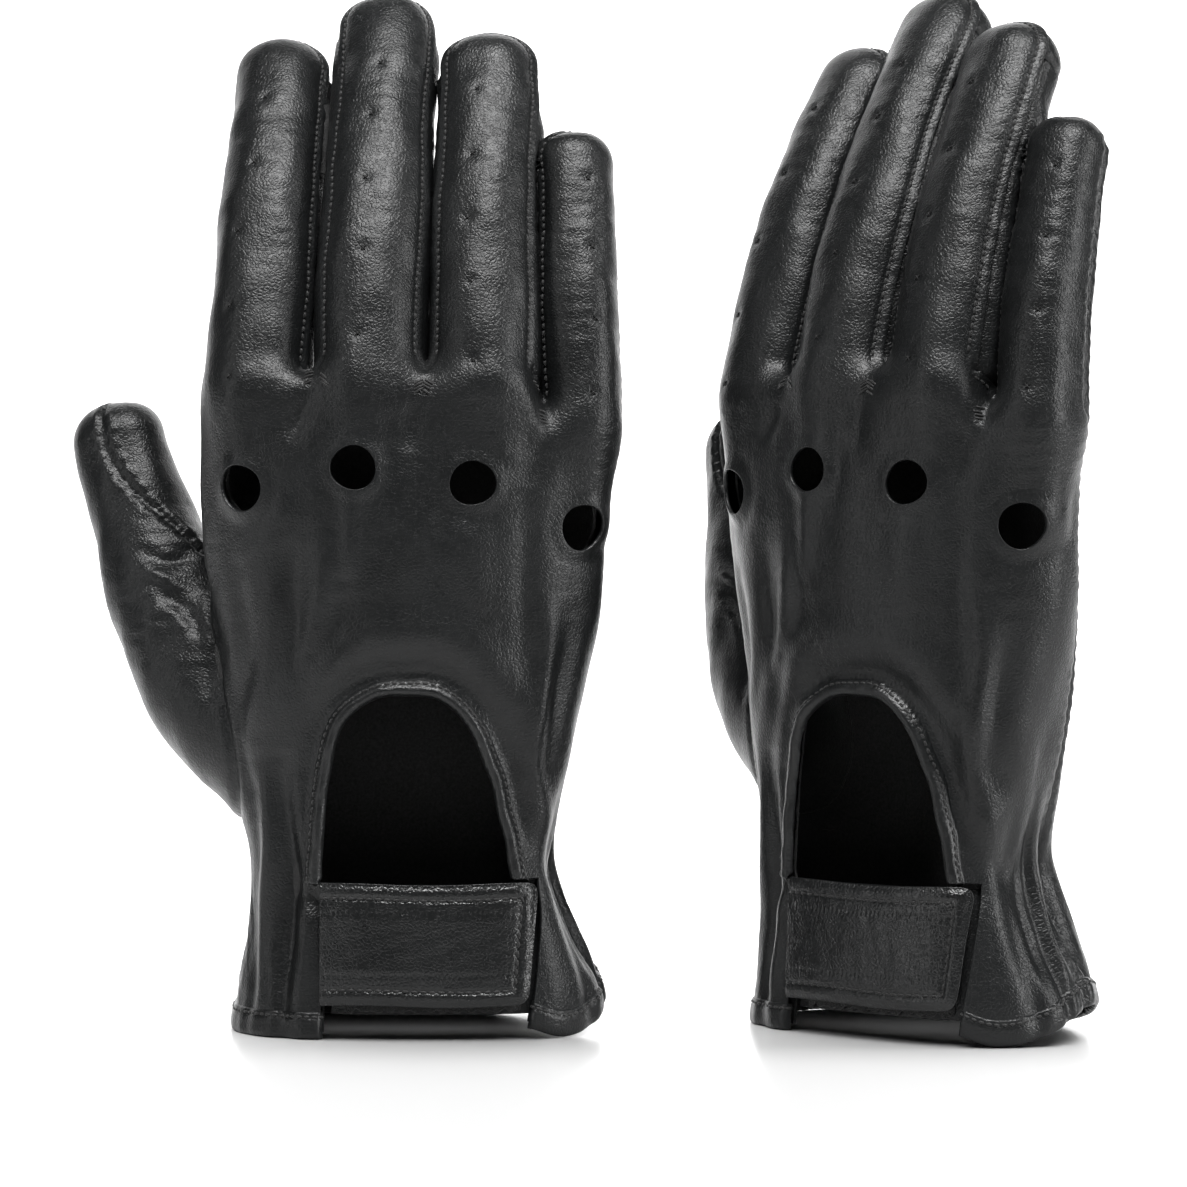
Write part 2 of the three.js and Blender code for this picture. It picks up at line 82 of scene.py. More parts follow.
# The thumb's middle line with its half-width and half-depth.
THUMB = np.array([
    [-24, 3, 52, 11, 10],
    [-38, 8, 66, 14, 13],
    [-47, 13, 79, 15.5, 13.5],
    [-56, 19.5, 97, 14, 12],
    [-63, 26, 115, 12, 10.8],
    [-68, 30.5, 129, 11, 9.8],
    [-71, 33, 142, 10, 8.5],
])
KNUCKLES = [(-36.0, 121.5), (-10.7, 125.5), (15.6, 122.5), (39.4, 113.0)]
KNUCKLE_R = 5.2
# Vent pricks along each finger, as x and z. The last of a row may lie on the hand's panel.
PRICKS = [
    (-33.1, 211.5), (-34.9, 195.5), (-37.5, 179.6), (-39.1, 162.6), (-38.9, 146.4),
    (-6.7, 219.0), (-8.0, 206.5), (-9.1, 191.0), (-9.1, 174.8), (-10.0, 155.2),
    (15.8, 212.3), (14.7, 196.6), (14.0, 182.0), (14.7, 167.2), (15.8, 149.2),
    (40.5, 191.7), (41.6, 175.4), (42.5, 159.0), (42.1, 142.5),
]
KEYHOLE = np.array([
    (-18.2, 35.3), (-17.5, 47), (-15.9, 60), (-12.6, 70), (-6, 74.9), (1, 75.5),
    (8, 74.8), (14.2, 69), (18.6, 59), (21.6, 48), (24.2, 35.3),
])
BINDING_WIDTH = 3.6
SLOT_TOP = 35.3
SLOT_THUMB = -18.3
SLOT_INNER = (20.0, -6.0)
SLOT_LITTLE = ((27.5, -20.0), (30.0, -14.0))
HEM_HEIGHT = 6.0
HEM_RISE = 7.5
LEATHER = 1.0
LINING_GRID = 2.4
LINING_DEPTH = 2.5  # from the outer surface
STITCH = 1.7  # from one stitch to the next
SEAM_INSET = 1.75  # from a seam's edge to its stitches, and likewise for the next three
BINDING_INSET = 2.6
HEM_INSET = 4.9
STRAP_INSET = 3.2
CROTCHES = {"index": 148.5, "middle": 148.5, "ring": 148.5, "little": 140.8}
FINGER_EDGES = (-20.9, 4.9, 28.7)  # x between neighbouring fingers
CURL_Y = -6.0  # where the fingers' bends cross their middle lines
CURL_SLOPE = math.tan(math.radians(11))


# ---- Numbers and curves ----
def smoothstep(low, high, x):
    t = np.clip((x - low) / (high - low), 0.0, 1.0)
    return t * t * (3.0 - 2.0 * t)


def mix(a, b, t):
    return a + (b - a) * t


def smooth_min(a, b, k):
    h = np.clip(0.5 + 0.5 * (b - a) / k, 0.0, 1.0)
    return b + (a - b) * h - k * h * (1.0 - h)


def bump(d, width):
    """1 at d = 0, falling smoothly to 0 over a few widths."""
    return np.exp(-((d / width) ** 2))


def hermite(rows, z):
    """A smooth curve through rows whose first column is z; returns the other columns."""
    z = np.clip(np.asarray(z, float), rows[0, 0], rows[-1, 0])
    slopes = np.gradient(rows[:, 1:], rows[:, 0], axis=0)
    i = np.clip(np.searchsorted(rows[:, 0], z, side="right") - 1, 0, len(rows) - 2)
    span = rows[i + 1, 0] - rows[i, 0]
    s = ((z - rows[i, 0]) / span)[..., None]
    span = span[..., None]
    h00, h10 = 2 * s**3 - 3 * s**2 + 1, s**3 - 2 * s**2 + s
    h01, h11 = 3 * s**2 - 2 * s**3, s**3 - s**2
    return h00 * rows[i, 1:] + h10 * span * slopes[i] + h01 * rows[i + 1, 1:] + h11 * span * slopes[i + 1]


def smooth_line(points, count):
    """A Catmull-Rom curve through points, resampled to even steps."""
    p = np.asarray(points, float)
    p = np.vstack([2 * p[0] - p[1], p, 2 * p[-1] - p[-2]])
    fine = []
    for i in range(1, len(p) - 2):
        t = np.linspace(0, 1, 24, endpoint=False)[:, None]
        a, b, c, d = p[i - 1], p[i], p[i + 1], p[i + 2]
        square, cube = 2 * a - 5 * b + 4 * c - d, 3 * b - a - 3 * c + d
        fine.append(0.5 * (2 * b + (c - a) * t + square * t**2 + cube * t**3))
    fine = np.vstack(fine + [p[-2][None]])
    return resample(fine, count)


def resample(line, count, measured=None):
    """Evenly spaced rows along a line whose length is measured over its first columns."""
    s = np.concatenate([[0], np.cumsum(np.linalg.norm(np.diff(line[:, :measured], axis=0), axis=1))])
    at = np.linspace(0, s[-1], count)
    return np.stack([np.interp(at, s, line[:, k]) for k in range(line.shape[1])], 1)


# ---- The glove's volume ----
def hand_section(z):
    """The hand's section at heights z: one array for each column of HAND after the first."""
    return np.moveaxis(hermite(HAND, z), -1, 0)


def hand_field(x, y, z):
    """Roughly the distance to the hand's surface, negative inside, and where a point lies round it."""
    cx, half, cy, back, palm, thumb, little = hand_section(z)
    u, v = (x - cx) / half, y - cy
    depth = np.where(v < 0, back, palm)
    v = v / depth
    p = np.where(u < 0, thumb, little)
    au, av = np.abs(u) + 1e-5, np.abs(v) + 1e-5
    f = (au**p + av**p) ** (1 / p)
    g = f ** (1 - p) * np.sqrt((au ** (p - 1) / half) ** 2 + (av ** (p - 1) / depth) ** 2)
    return (f - 1) / np.maximum(g, 1e-3), u, v


def hand_top(x, y):
    """The height at which the hand ends and only fingers go on."""
    step = smoothstep(26, 32, x)
    height = mix(148, 139, step) - 2
    lean = np.tan(np.radians(mix(12, 6, step)))
    return height - (y - mix(-8, -3, step)) * lean


def finger_line(base, tip, half, depth, lean, below=22.0):
    """A finger's middle line with its sizes, from inside the hand to where the rounded tip starts."""
    a, b = np.radians(lean)
    cap = 0.95 * half[1]
    t = np.linspace(0, 1, 61)
    angle = mix(a, b, t)
    rise = (np.sin(angle) - np.sin(a)) / (np.sin(b) - np.sin(a))
    reach = (np.cos(a) - np.cos(angle)) / (np.cos(a) - np.cos(b))
    x, y, z = mix(base[0], tip[0], t), mix(base[1], tip[1], reach), mix(base[2], tip[2], rise)
    line = np.stack([x, y, z], 1)
    length = np.linalg.norm(np.diff(line, axis=0), axis=1).sum()
    line = resample(line, 61)[: int(60 * (1 - cap / length)) + 1]
    root = line[0] - (line[1] - line[0]) / np.linalg.norm(line[1] - line[0]) * below
    line = resample(np.vstack([root, line]), 70)
    share = np.clip((line[:, 2] - base[2]) / (line[-1, 2] - base[2]), 0, 1)
    inside = mix(0.55, 1.0, smoothstep(base[2] - below, base[2] - 2, line[:, 2]))
    widths, depths = mix(half[0], half[1], share) * inside, mix(depth[0], depth[1], share) * inside
    return with_frames(line, widths, depths, cap)


def thumb_line():
    rows = smooth_line(THUMB, 80)
    cap = 0.95 * rows[-1, 3]
    rows = rows[np.linalg.norm(rows[:, :3] - rows[-1, :3], axis=1) > cap]
    return with_frames(rows[:, :3], rows[:, 3], rows[:, 4], cap)


def with_frames(line, half, depth, cap):
    """A digit's line with its tangent, sideways and palmward directions at every sample."""
    tangent = np.gradient(line, axis=0)
    tangent /= np.linalg.norm(tangent, axis=1)[:, None]
    palm = np.array([0.0, 1.0, 0.0]) - tangent[:, 1:2] * tangent
    palm /= np.linalg.norm(palm, axis=1)[:, None]
    side = np.cross(palm, tangent)
    return {"at": line, "t": tangent, "v": palm, "u": side, "half": half, "depth": depth, "cap": cap}


def digit_field(line, p, power=2.25):
    """Distance to a digit's surface, a point's unit direction (across, palmward, along), and its share
    of the digit's length."""
    at = line["at"]
    near = np.empty(len(p), int)
    for s in range(0, len(p), 200000):
        q = p[s : s + 200000]
        near[s : s + 200000] = ((at**2).sum(1)[None] - 2 * q @ at.T).argmin(1)
    d = p - at[near]
    u, v, w = ((d * line[way][near]).sum(1) for way in "uvt")
    beyond = np.where(near == len(at) - 1, np.maximum(w, 0), 0) + np.where(near == 0, np.minimum(w, 0), 0)
    half, depth, cap = line["half"][near], line["depth"][near], line["cap"]
    u, v, w = u / half, v / depth, beyond / cap
    au, av, aw = np.abs(u) + 1e-5, np.abs(v) + 1e-5, np.abs(w) + 1e-5
    f = (au**power + av**power + aw**power) ** (1 / power)
    k = power - 1
    g = f ** (-k) * np.sqrt((au**k / half) ** 2 + (av**k / depth) ** 2 + (aw**k / cap) ** 2)
    size = np.sqrt(u * u + v * v + w * w) + 1e-6
    return (f - 1) / np.maximum(g, 1e-3), np.stack([u, v, w], 1) / size[:, None], near / (len(at) - 1)


LINES = {name: finger_line(*DIGITS[name]) for name in FINGERS}
LINES["thumb"] = thumb_line()


def finger_of(p):
    """Which finger, from 0 to 3, a spot is nearest to across the hand."""
    which = np.zeros(len(p), int)
    for a, b in zip(FINGERS[:-1], FINGERS[1:]):
        left, right = LINES[a], LINES[b]
        edge = np.interp(p[:, 2], left["at"][:, 2], left["at"][:, 0] + left["half"])
        edge = edge + np.interp(p[:, 2], right["at"][:, 2], right["at"][:, 0] - right["half"])
        which += p[:, 0] > edge / 2
    return which


def glove_volume(voxel):
    """The distance grid of hand, fingers and thumb, blended where they meet."""
    count = np.ceil((GRID_HIGH - GRID_LOW) / voxel).astype(int)
    axes = [GRID_LOW[k] + voxel * np.arange(count[k]) for k in range(3)]
    x, y, z = axes[0][:, None, None], axes[1][None, :, None], axes[2][None, None, :]
    hand = hand_field(x, y, z)[0]
    top = (z - hand_top(x, y)) * 0.97
    hand = -smooth_min(-hand, -top, 9.0)
    digits = {"fingers": np.full(count, 30.0, np.float32), "thumb": np.full(count, 30.0, np.float32)}
    for name, line in LINES.items():
        low = np.maximum(((line["at"].min(0) - 17 - GRID_LOW) / voxel).astype(int), 0)
        high = np.minimum(((line["at"].max(0) + 17 - GRID_LOW) / voxel).astype(int), count)
        block = tuple(slice(a, b) for a, b in zip(low, high))
        mesh = np.meshgrid(*[axes[k][block[k]] for k in range(3)], indexing="ij")
        d = digit_field(line, np.stack([m.ravel() for m in mesh], 1))[0].reshape(mesh[0].shape)
        group = digits["thumb" if name == "thumb" else "fingers"]
        group[block] = np.minimum(group[block], d)
    both = smooth_min(hand, digits["fingers"], 4.5)
    return smooth_min(both, digits["thumb"], 8.0).astype(np.float32)


# ---- Skins: triangle meshes with a value for each vertex of every named field ----
def glove_skin(voxel):
    grid = vdb.FloatGrid(30.0)
    grid.copyFromArray(glove_volume(voxel))
    points, quads = grid.convertToQuads(0.0)
    points = points.astype(float) * voxel + GRID_LOW
    quads = quads.astype(int)[:, ::-1]
    tri = np.vstack([quads[:, [0, 1, 2]], quads[:, [0, 2, 3]]])
    if signed_volume(points, tri) < 0:
        tri = tri[:, ::-1]
    skin = {"tri": tri, "rest": points}
    skin["rest"] = relax(skin, points, 3)
    skin["normal"] = vertex_normals(skin["rest"], tri)
    return skin


def signed_volume(p, tri):
    a, b, c = p[tri[:, 0]], p[tri[:, 1]], p[tri[:, 2]]
    return (a * np.cross(b, c)).sum() / 6


def vertex_normals(p, tri):
    face = np.cross(p[tri[:, 1]] - p[tri[:, 0]], p[tri[:, 2]] - p[tri[:, 0]])
    n = np.zeros_like(p)
    for k in range(3):
        for axis in range(3):
            n[:, axis] += np.bincount(tri[:, k], face[:, axis], len(p))
    return n / np.maximum(np.linalg.norm(n, axis=1), 1e-12)[:, None]


def neighbours_mean(tri, values, count):
    total, weight = np.zeros((count, values.shape[1])), np.zeros(count)
    for a, b in ((0, 1), (1, 2), (2, 0), (1, 0), (2, 1), (0, 2)):
        weight += np.bincount(tri[:, a], minlength=count)
        for axis in range(values.shape[1]):
            total[:, axis] += np.bincount(tri[:, a], values[tri[:, b], axis], count)
    return total / np.maximum(weight, 1)[:, None]


def relax(skin, p, rounds):
    """Evens out the surface: each pass shrinks a little and the next grows back."""
    for _ in range(rounds):
        p = p + 0.5 * (neighbours_mean(skin["tri"], p, len(p)) - p)
        p = p - 0.52 * (neighbours_mean(skin["tri"], p, len(p)) - p)
    return p


def compact(skin):
    used, inverse = np.unique(skin["tri"], return_inverse=True)
    made = {k: v[used] for k, v in skin.items() if k != "tri"}
    made["tri"] = inverse.reshape(-1, 3)
    return made


def select(skin, keep):
    """The triangles for which keep holds."""
    return compact({**skin, "tri": skin["tri"][keep]})


def crossings(tri, f):
    """The triangles that the line f = 0 crosses. Returns their corners, starting from the one that is
    alone on its side; whether that one is inside; the crossed edges; where on them the line lies; and
    which of these edges each triangle has on either side of its first corner."""
    inside = f >= 0
    n_in = inside[tri].sum(1)
    mixed = tri[(n_in == 1) | (n_in == 2)]
    if not len(mixed):
        return None
    ins = inside[mixed]
    single = ins.sum(1) == 1
    odd = np.where(single[:, None], ins, ~ins).argmax(1)
    row = np.arange(len(mixed))
    a, b, c = (mixed[row, (odd + k) % 3] for k in range(3))
    edges = np.sort(np.concatenate([np.stack([a, b], 1), np.stack([a, c], 1)]), 1)
    unique, inverse = np.unique(edges, axis=0, return_inverse=True)
    f0, f1 = f[unique[:, 0]], f[unique[:, 1]]
    return (a, b, c), single, unique, (f0 / (f0 - f1))[:, None], inverse.reshape(2, -1)


def cut(skin, f):
    """Keeps the part of a skin where f is at least 0, cutting triangles along the line f = 0."""
    f = np.where(np.abs(f) < 1e-3, 0.0, f)
    tri = skin["tri"]
    whole = tri[(f >= 0)[tri].all(1)]
    found = crossings(tri, f)
    if found is None:
        return compact({**skin, "tri": whole})
    (a, b, c), single, unique, s, beside = found
    made = {}
    for key, value in skin.items():
        if key == "tri":
            continue
        flat = value.reshape(len(value), -1)
        new = flat[unique[:, 0]] * (1 - s) + flat[unique[:, 1]] * s
        made[key] = np.concatenate([flat, new]).reshape((-1,) + value.shape[1:])
    index = len(f) + np.arange(len(unique))
    first, second = unique.T
    index = np.where(f[first] == 0, first, np.where(f[second] == 0, second, index))
    ab, ac = index[beside]
    t = np.concatenate([
        whole,
        np.stack([a, ab, ac], 1)[single],
        np.stack([ab, b, c], 1)[~single],
        np.stack([ab, c, ac], 1)[~single],
    ])
    made["tri"] = t[(t[:, 0] != t[:, 1]) & (t[:, 1] != t[:, 2]) & (t[:, 2] != t[:, 0])]
    made = compact(made)
    made["normal"] = made["normal"] / np.linalg.norm(made["normal"], axis=1)[:, None]
    return made


def keep(skin, **least):
    """Cuts a skin down to where each named field is at least a value."""
    for field, value in least.items():
        skin = cut(skin, skin[field] - value)
    return skin


def contours(skin, f):
    """The lines f = 0 on a skin, each as an array of points with their normals."""
    found = crossings(skin["tri"], f)
    if found is None:
        return []
    _, _, unique, s, beside = found
    both = np.concatenate([skin["pos"], skin["normal"]], 1)
    points = both[unique[:, 0]] * (1 - s) + both[unique[:, 1]] * s
    links = {}
    for p, q in zip(*beside):
        links.setdefault(p, []).append(q)
        links.setdefault(q, []).append(p)
    lines, seen = [], set()
    for start in sorted(links, key=lambda k: len(links[k])):
        if start in seen:
            continue
        chain, here = [start], start
        seen.add(start)
        while True:
            following = [k for k in links[here] if k not in seen]
            if not following:
                break
            here = following[0]
            seen.add(here)
            chain.append(here)
        if len(chain) > 3:
            if len(links[start]) == 2 and chain[-1] in links[start]:
                chain.append(start)
            lines.append(points[chain])
    return lines


# ---- Where things lie on the glove ----
def angle_field(v, edge):
    """Degrees by which a direction lies on the back's side of an edge line."""
    return np.degrees(np.arcsin(np.clip(-v, -1, 1))) - edge


def hem_foot(x, y):
    """The height of the cuff's lower edge, which rises towards the little finger's side."""
    angle = np.degrees(np.arctan2((y - 3.0) / 26.5, (x - 2.2) / 42.0))
    away = np.clip(np.abs(angle - 15) / 60, 0, 1)
    return HEM_RISE * (0.5 + 0.5 * np.cos(np.pi * away)) + 2.5 * bump(angle + 57, 8)


def segment_distance(px, pz, line):
    """Distance in the x-z plane from points to a polyline."""
    best = np.full(len(px), 1e9)
    for (ax, az), (bx, bz) in zip(line[:-1], line[1:]):
        dx, dz = bx - ax, bz - az
        t = np.clip(((px - ax) * dx + (pz - az) * dz) / (dx * dx + dz * dz), 0, 1)
        best = np.minimum(best, np.hypot(px - ax - t * dx, pz - az - t * dz))
    return best


def inside_polygon(px, pz, ring):
    inside = np.zeros(len(px), bool)
    for (ax, az), (bx, bz) in zip(ring, np.roll(ring, -1, axis=0)):
        crosses = (az > pz) != (bz > pz)
        slope = (bx - ax) * (pz - az) / (bz - az + 1e-12) + ax
        inside ^= crosses & (px < slope)
    return inside


KEYHOLE_LINE = smooth_line(KEYHOLE, 60)


def keyhole_distance(rest):
    """Distance outwards from the keyhole's edge on the back; large on the palm's side."""
    px, pz = rest[:, 0], rest[:, 2]
    d = segment_distance(px, pz, KEYHOLE_LINE)
    below = [(x, 30) for x in (KEYHOLE[-1, 0], KEYHOLE[0, 0])]
    ring = np.vstack([KEYHOLE_LINE, below])
    d = np.where(inside_polygon(px, pz, ring), -d, d)
    return np.where(rest[:, 1] > -3, 60.0, d)


def slot_distance(rest):
    """Positive outside the gap in the back that the strap crosses."""
    x, y, z = rest.T
    e = np.stack([mix(SLOT_LITTLE[0][k], SLOT_LITTLE[1][k], z / SLOT_TOP) - SLOT_INNER[k] for k in (0, 1)])
    e /= np.linalg.norm(e, axis=0)
    right = -(x - SLOT_INNER[0]) * e[1] + (y - SLOT_INNER[1]) * e[0]
    return np.maximum.reduce([SLOT_THUMB - x, right, z - SLOT_TOP, y + 4.0])


def knuckle_centres():
    """Where each knuckle hole's axis meets the back of the hand."""
    made = []
    for x, z in KNUCKLES:
        cx, half, cy, back, _, thumb, little = hand_section(np.array(z, float))
        p = thumb if x < cx else little
        y = cy - back * (1 - abs((x - cx) / half) ** p) ** (1 / p)
        made.append(np.array([x, y, z]))
    return made


def label_fields(skin):
    """Adds to a skin the fields that say where its seams and openings run."""
    p = skin["rest"]
    x, y, z = p.T
    hand, hu, hv = hand_field(x, y, z)
    thumb = digit_field(LINES["thumb"], p)[0]
    skin["thumb"] = np.minimum(hand, 40.0) - np.minimum(thumb, 40.0)
    outer = smoothstep(0.55, 0.85, np.abs(hu))
    back = angle_field(hv, mix(22.0, -20.0, outer)) * math.radians(20)
    palm = angle_field(-hv, mix(35.0, 20.0, outer)) * math.radians(20)
    finger = finger_of(p)
    for i, name in enumerate(FINGERS):
        mine = finger == i
        d, n, _ = digit_field(LINES[name], p[mine])
        side = {"index": -n[:, 0], "little": n[:, 0]}.get(name, np.full(mine.sum(), -1.0))
        outside = smoothstep(-0.25, 0.35, side)
        edge = np.where(n[:, 2] > 0, 22.0 - 4.0 * n[:, 2], 22.0)
        f_back = angle_field(n[:, 1], mix(edge, -20.0, outside)) * math.radians(9.7)
        f_palm = angle_field(-n[:, 1], mix(35.0, 20.0, outside)) * math.radians(9.7)
        f_palm = np.where(n[:, 2] > 0, np.maximum(f_palm, np.minimum(n[:, 2] * 9.0, -f_back)), f_palm)
        crotch = CROTCHES[name]
        near = smoothstep(crotch - 9.0, crotch - 1.0, z[mine])
        back[mine] = mix(back[mine], f_back, near)
        palm[mine] = mix(palm[mine], f_palm, near)
    skin["back"], skin["palm"] = back, palm
    crotch = np.where(x < FINGER_EDGES[2], CROTCHES["ring"], CROTCHES["little"])
    skin["finger"] = z - crotch + (y - CURL_Y) * CURL_SLOPE
    skin["keyhole"] = keyhole_distance(p)
    skin["slot"] = slot_distance(p)
    skin["above"] = z - hem_foot(x, y)
    return skin


# ---- Creases: how far each spot of leather stands out from the smooth surface, in mm ----
# Ridges (+) and valleys (-) on the back of the hand: height as a share of BACK_RISE, width, then x
# and z along each.
BACK_RISE, OPEN_RISE = 1.5, 1.4
BACK_FOLDS = [
    (-0.9, 2.6, [(-26, 111), (-24.5, 100), (-23.5, 88), (-25, 78)]),
    (0.8, 3.2, [(-31, 108), (-30.5, 96), (-31.5, 84), (-33, 72), (-33.5, 60)]),
    (-0.8, 2.2, [(-36.5, 104), (-36.5, 90), (-36, 76), (-35, 62), (-33.5, 50)]),
    (0.9, 3.5, [(-19, 112), (-17.5, 102), (-18, 92), (-21, 84)]),
    (-1.0, 3.0, [(-14, 100), (-16, 90), (-21, 80), (-25, 66), (-26, 52)]),
    (0.7, 3.0, [(-12, 122), (-11, 112), (-11.5, 100)]),
    (-0.6, 3.5, [(-2, 140), (-3, 128), (-4, 116)]),
    (0.8, 4.0, [(15, 116), (16, 104), (18, 92)]),
    (-0.7, 3.5, [(27, 122), (28, 108), (28, 94), (26, 80)]),
    (0.9, 3.2, [(33, 100), (32, 86), (30, 72), (29, 58)]),
    (-0.8, 2.6, [(36, 92), (34.5, 78), (32.5, 64), (31, 52)]),
    (0.7, 2.4, [(25.5, 74), (28, 62), (30, 50), (31, 42)]),
    (-0.8, 3.0, [(-21, 143), (-24, 136), (-27, 131)]),
    (-0.7, 3.0, [(4.6, 142), (3, 134), (2, 128)]),
    (-0.8, 3.0, [(30, 135), (29, 128), (27, 121)]),
    (0.8, 2.2, [(-30.5, 64), (-31, 50), (-30, 38), (-31, 24), (-31.5, 8)]),
    (-1.1, 1.9, [(-27.5, 62), (-27, 50), (-26, 38), (-26, 24), (-26.5, 8)]),
    (1.0, 1.8, [(-23.5, 56), (-22.8, 44), (-22.5, 32), (-22.5, 18), (-22.5, 6)]),
    (-0.8, 1.8, [(-34.5, 46), (-34, 34), (-35, 20), (-36, 8)]),
]
# The same over the whole wrist and thumb, with OPEN_RISE and points in space.
OPEN_FOLDS = [
    (-1.2, 2.2, [(31.5, -2, 44), (32.5, -4, 34), (35, -6, 24), (39, -7, 13), (41, -7, 6)]),
    (0.9, 2.0, [(32.5, 3, 46), (33.5, 2, 34), (37, 1, 24), (41, 1, 13), (43, 1, 8)]),
    (-1.1, 2.0, [(31, 8, 44), (33, 8, 34), (36, 9, 24), (40, 10, 14)]),
    (0.9, 2.2, [(28, 13, 44), (30, 14, 34), (34, 16, 22), (37, 18, 12)]),
    (-1.0, 2.2, [(-35, 3, 50), (-35, 2, 38), (-37, 1, 24), (-39, 0, 12)]),
    (0.9, 2.4, [(-33, 9, 52), (-33, 9, 38), (-35, 10, 24), (-37, 10, 12)]),
    (-0.9, 2.6, [(-20, 19, 52), (-20, 19.5, 38), (-21, 21, 24), (-22, 24, 10)]),
    (-0.9, 2.6, [(2, 20, 56), (3, 20, 38), (4, 22, 24), (5, 25, 10)]),
    (0.9, 3.0, [(-9, 20, 54), (-9, 20, 38), (-9, 22, 24), (-9, 26, 10)]),
    (0.9, 3.0, [(13, 19, 54), (14, 19, 38), (16, 21, 24), (17, 25, 12)]),
    (-0.7, 1.9, [(-62, 11, 108), (-56, 11, 106), (-50, 12, 108), (-46, 14, 113)]),
    (0.8, 1.5, [(-60, 9, 104), (-54, 8, 101), (-49, 7, 101), (-46, 8, 104)]),
    (-0.55, 1.7, [(-59, 7, 100), (-53, 6, 96), (-49, 3, 92), (-45, 1, 86)]),
    (0.7, 1.5, [(-57, 6, 95), (-52, 4, 90), (-48, 1, 84), (-43, -1, 76)]),
    (-0.55, 1.7, [(-54, 6, 89), (-50, 3, 83), (-45, 1, 75), (-40, -1, 66)]),
    (-1.0, 2.4, [(-47, -1, 104), (-45, -2, 90), (-42, -3, 76), (-38, -3, 62), (-35, -3, 50)]),
    (0.8, 2.2, [(-49, 8, 74), (-43, 4, 66), (-38, 2, 58), (-35, 1, 50)]),
]


def line_distance(p, line):
    """Distance from points to a polyline in space, and the share of its length at the nearest spot."""
    line = smooth_line(line, 14)
    best, share = np.full(len(p), 1e9), np.zeros(len(p))
    for i, (a, b) in enumerate(zip(line[:-1], line[1:])):
        d = b - a
        t = np.clip(((p - a) @ d) / (d @ d), 0, 1)
        dist = np.linalg.norm(p - a - t[:, None] * d, axis=1)
        nearer = dist < best
        best[nearer], share[nearer] = dist[nearer], (i + t[nearer]) / (len(line) - 1)
    return best, share


def faded(share):
    """A fold's strength along its length, low at both ends."""
    return np.sin(np.pi * np.clip(share, 0.04, 0.96)) ** 0.6


def wave(p, scale, seed):
    """Smooth noise from -1 to 1, made of a few turned sine waves."""
    rng = np.random.default_rng(seed)
    total = np.zeros(len(p))
    for _ in range(7):
        direction = rng.normal(size=3)
        direction *= 2 * np.pi / (scale * rng.uniform(0.7, 1.5) * np.linalg.norm(direction))
        total += np.sin(p @ direction + rng.uniform(0, 6.28))
    return total / 4.0


def creases(skin):
    """The height of folds, pleats and wrinkles at every spot of a skin."""
    p, n = skin["rest"], skin["normal"]
    warp = p + np.stack([wave(p, 22, 1), wave(p, 22, 2), wave(p, 22, 3)], 1) * 1.3
    h = 0.6 * wave(p * [1, 1, 0.55], 26, 4) + 0.28 * wave(p * [1, 1, 0.6], 11, 5)
    on_back = smoothstep(0.15, 0.5, -n[:, 1]) * (p[:, 1] < 4)
    flat = warp * [1, 0, 1]
    for height, width, line in BACK_FOLDS:
        d, share = line_distance(flat, [(x, 0, z) for x, z in line])
        h += BACK_RISE * height * bump(d, width) * faded(share) * on_back
    for height, width, line in OPEN_FOLDS:
        d, share = line_distance(warp, line)
        h += OPEN_RISE * height * bump(d, width) * faded(share)
    # The wrist is gathered into pleats that open towards the cuff.
    turn = np.arctan2((p[:, 1] - 1.5) / 24, (p[:, 0] - 1) / 37)
    low = smoothstep(60, 38, p[:, 2]) * (1 - 0.35 * smoothstep(12, 3, p[:, 2]))
    beat = 15 * turn + 1.6 * np.sin(2 * turn + 0.7) + 1.1 * np.sin(5 * turn)
    beat = beat + 0.5 * np.sin(p[:, 2] / 9.0 + 3 * turn)
    h += low * (0.75 * np.sin(beat) + 0.3 * np.sin(2 * beat + 1.0)) * (0.65 + 0.35 * np.sin(3 * turn + 1.0))
    # The keyhole's binding draws the leather in, so it bulges a little way out from it.
    k = skin["keyhole"]
    high = smoothstep(52, 72, p[:, 2])
    h += (-1.3 * bump(k - 5.0, 2.8) + 1.2 * high * bump(k - 13, 5.0)) * (k < 40)
    # Fine wrinkles across the thumb's root and the fingers' joints.
    root = bump(np.linalg.norm((p - [-52, 8, 98]) * [1, 0.8, 0.8], axis=1), 15)
    h += 0.2 * root * wave(p * [0.5, 0.5, 1.6], 4.5, 6)
    for name in FINGERS:
        line = LINES[name]
        length = len(line["at"])
        for share in (0.5, 0.78):
            joint = line["at"][int(share * length)]
            near = bump(np.linalg.norm((p - joint) * [1, 1, 0.9], axis=1), 11)
            h += 0.16 * near * wave(p * [0.4, 0.6, 1.8], 4.0, 7)
    return h


def with_positions(skin, extra):
    """Sets a panel's positions and shading normals from its creases and its own seams."""
    skin["pos"] = skin["rest"] + skin["normal"] * (skin["crease"] + extra)[:, None]
    skin["normal"] = vertex_normals(skin["pos"], skin["tri"])
    return skin


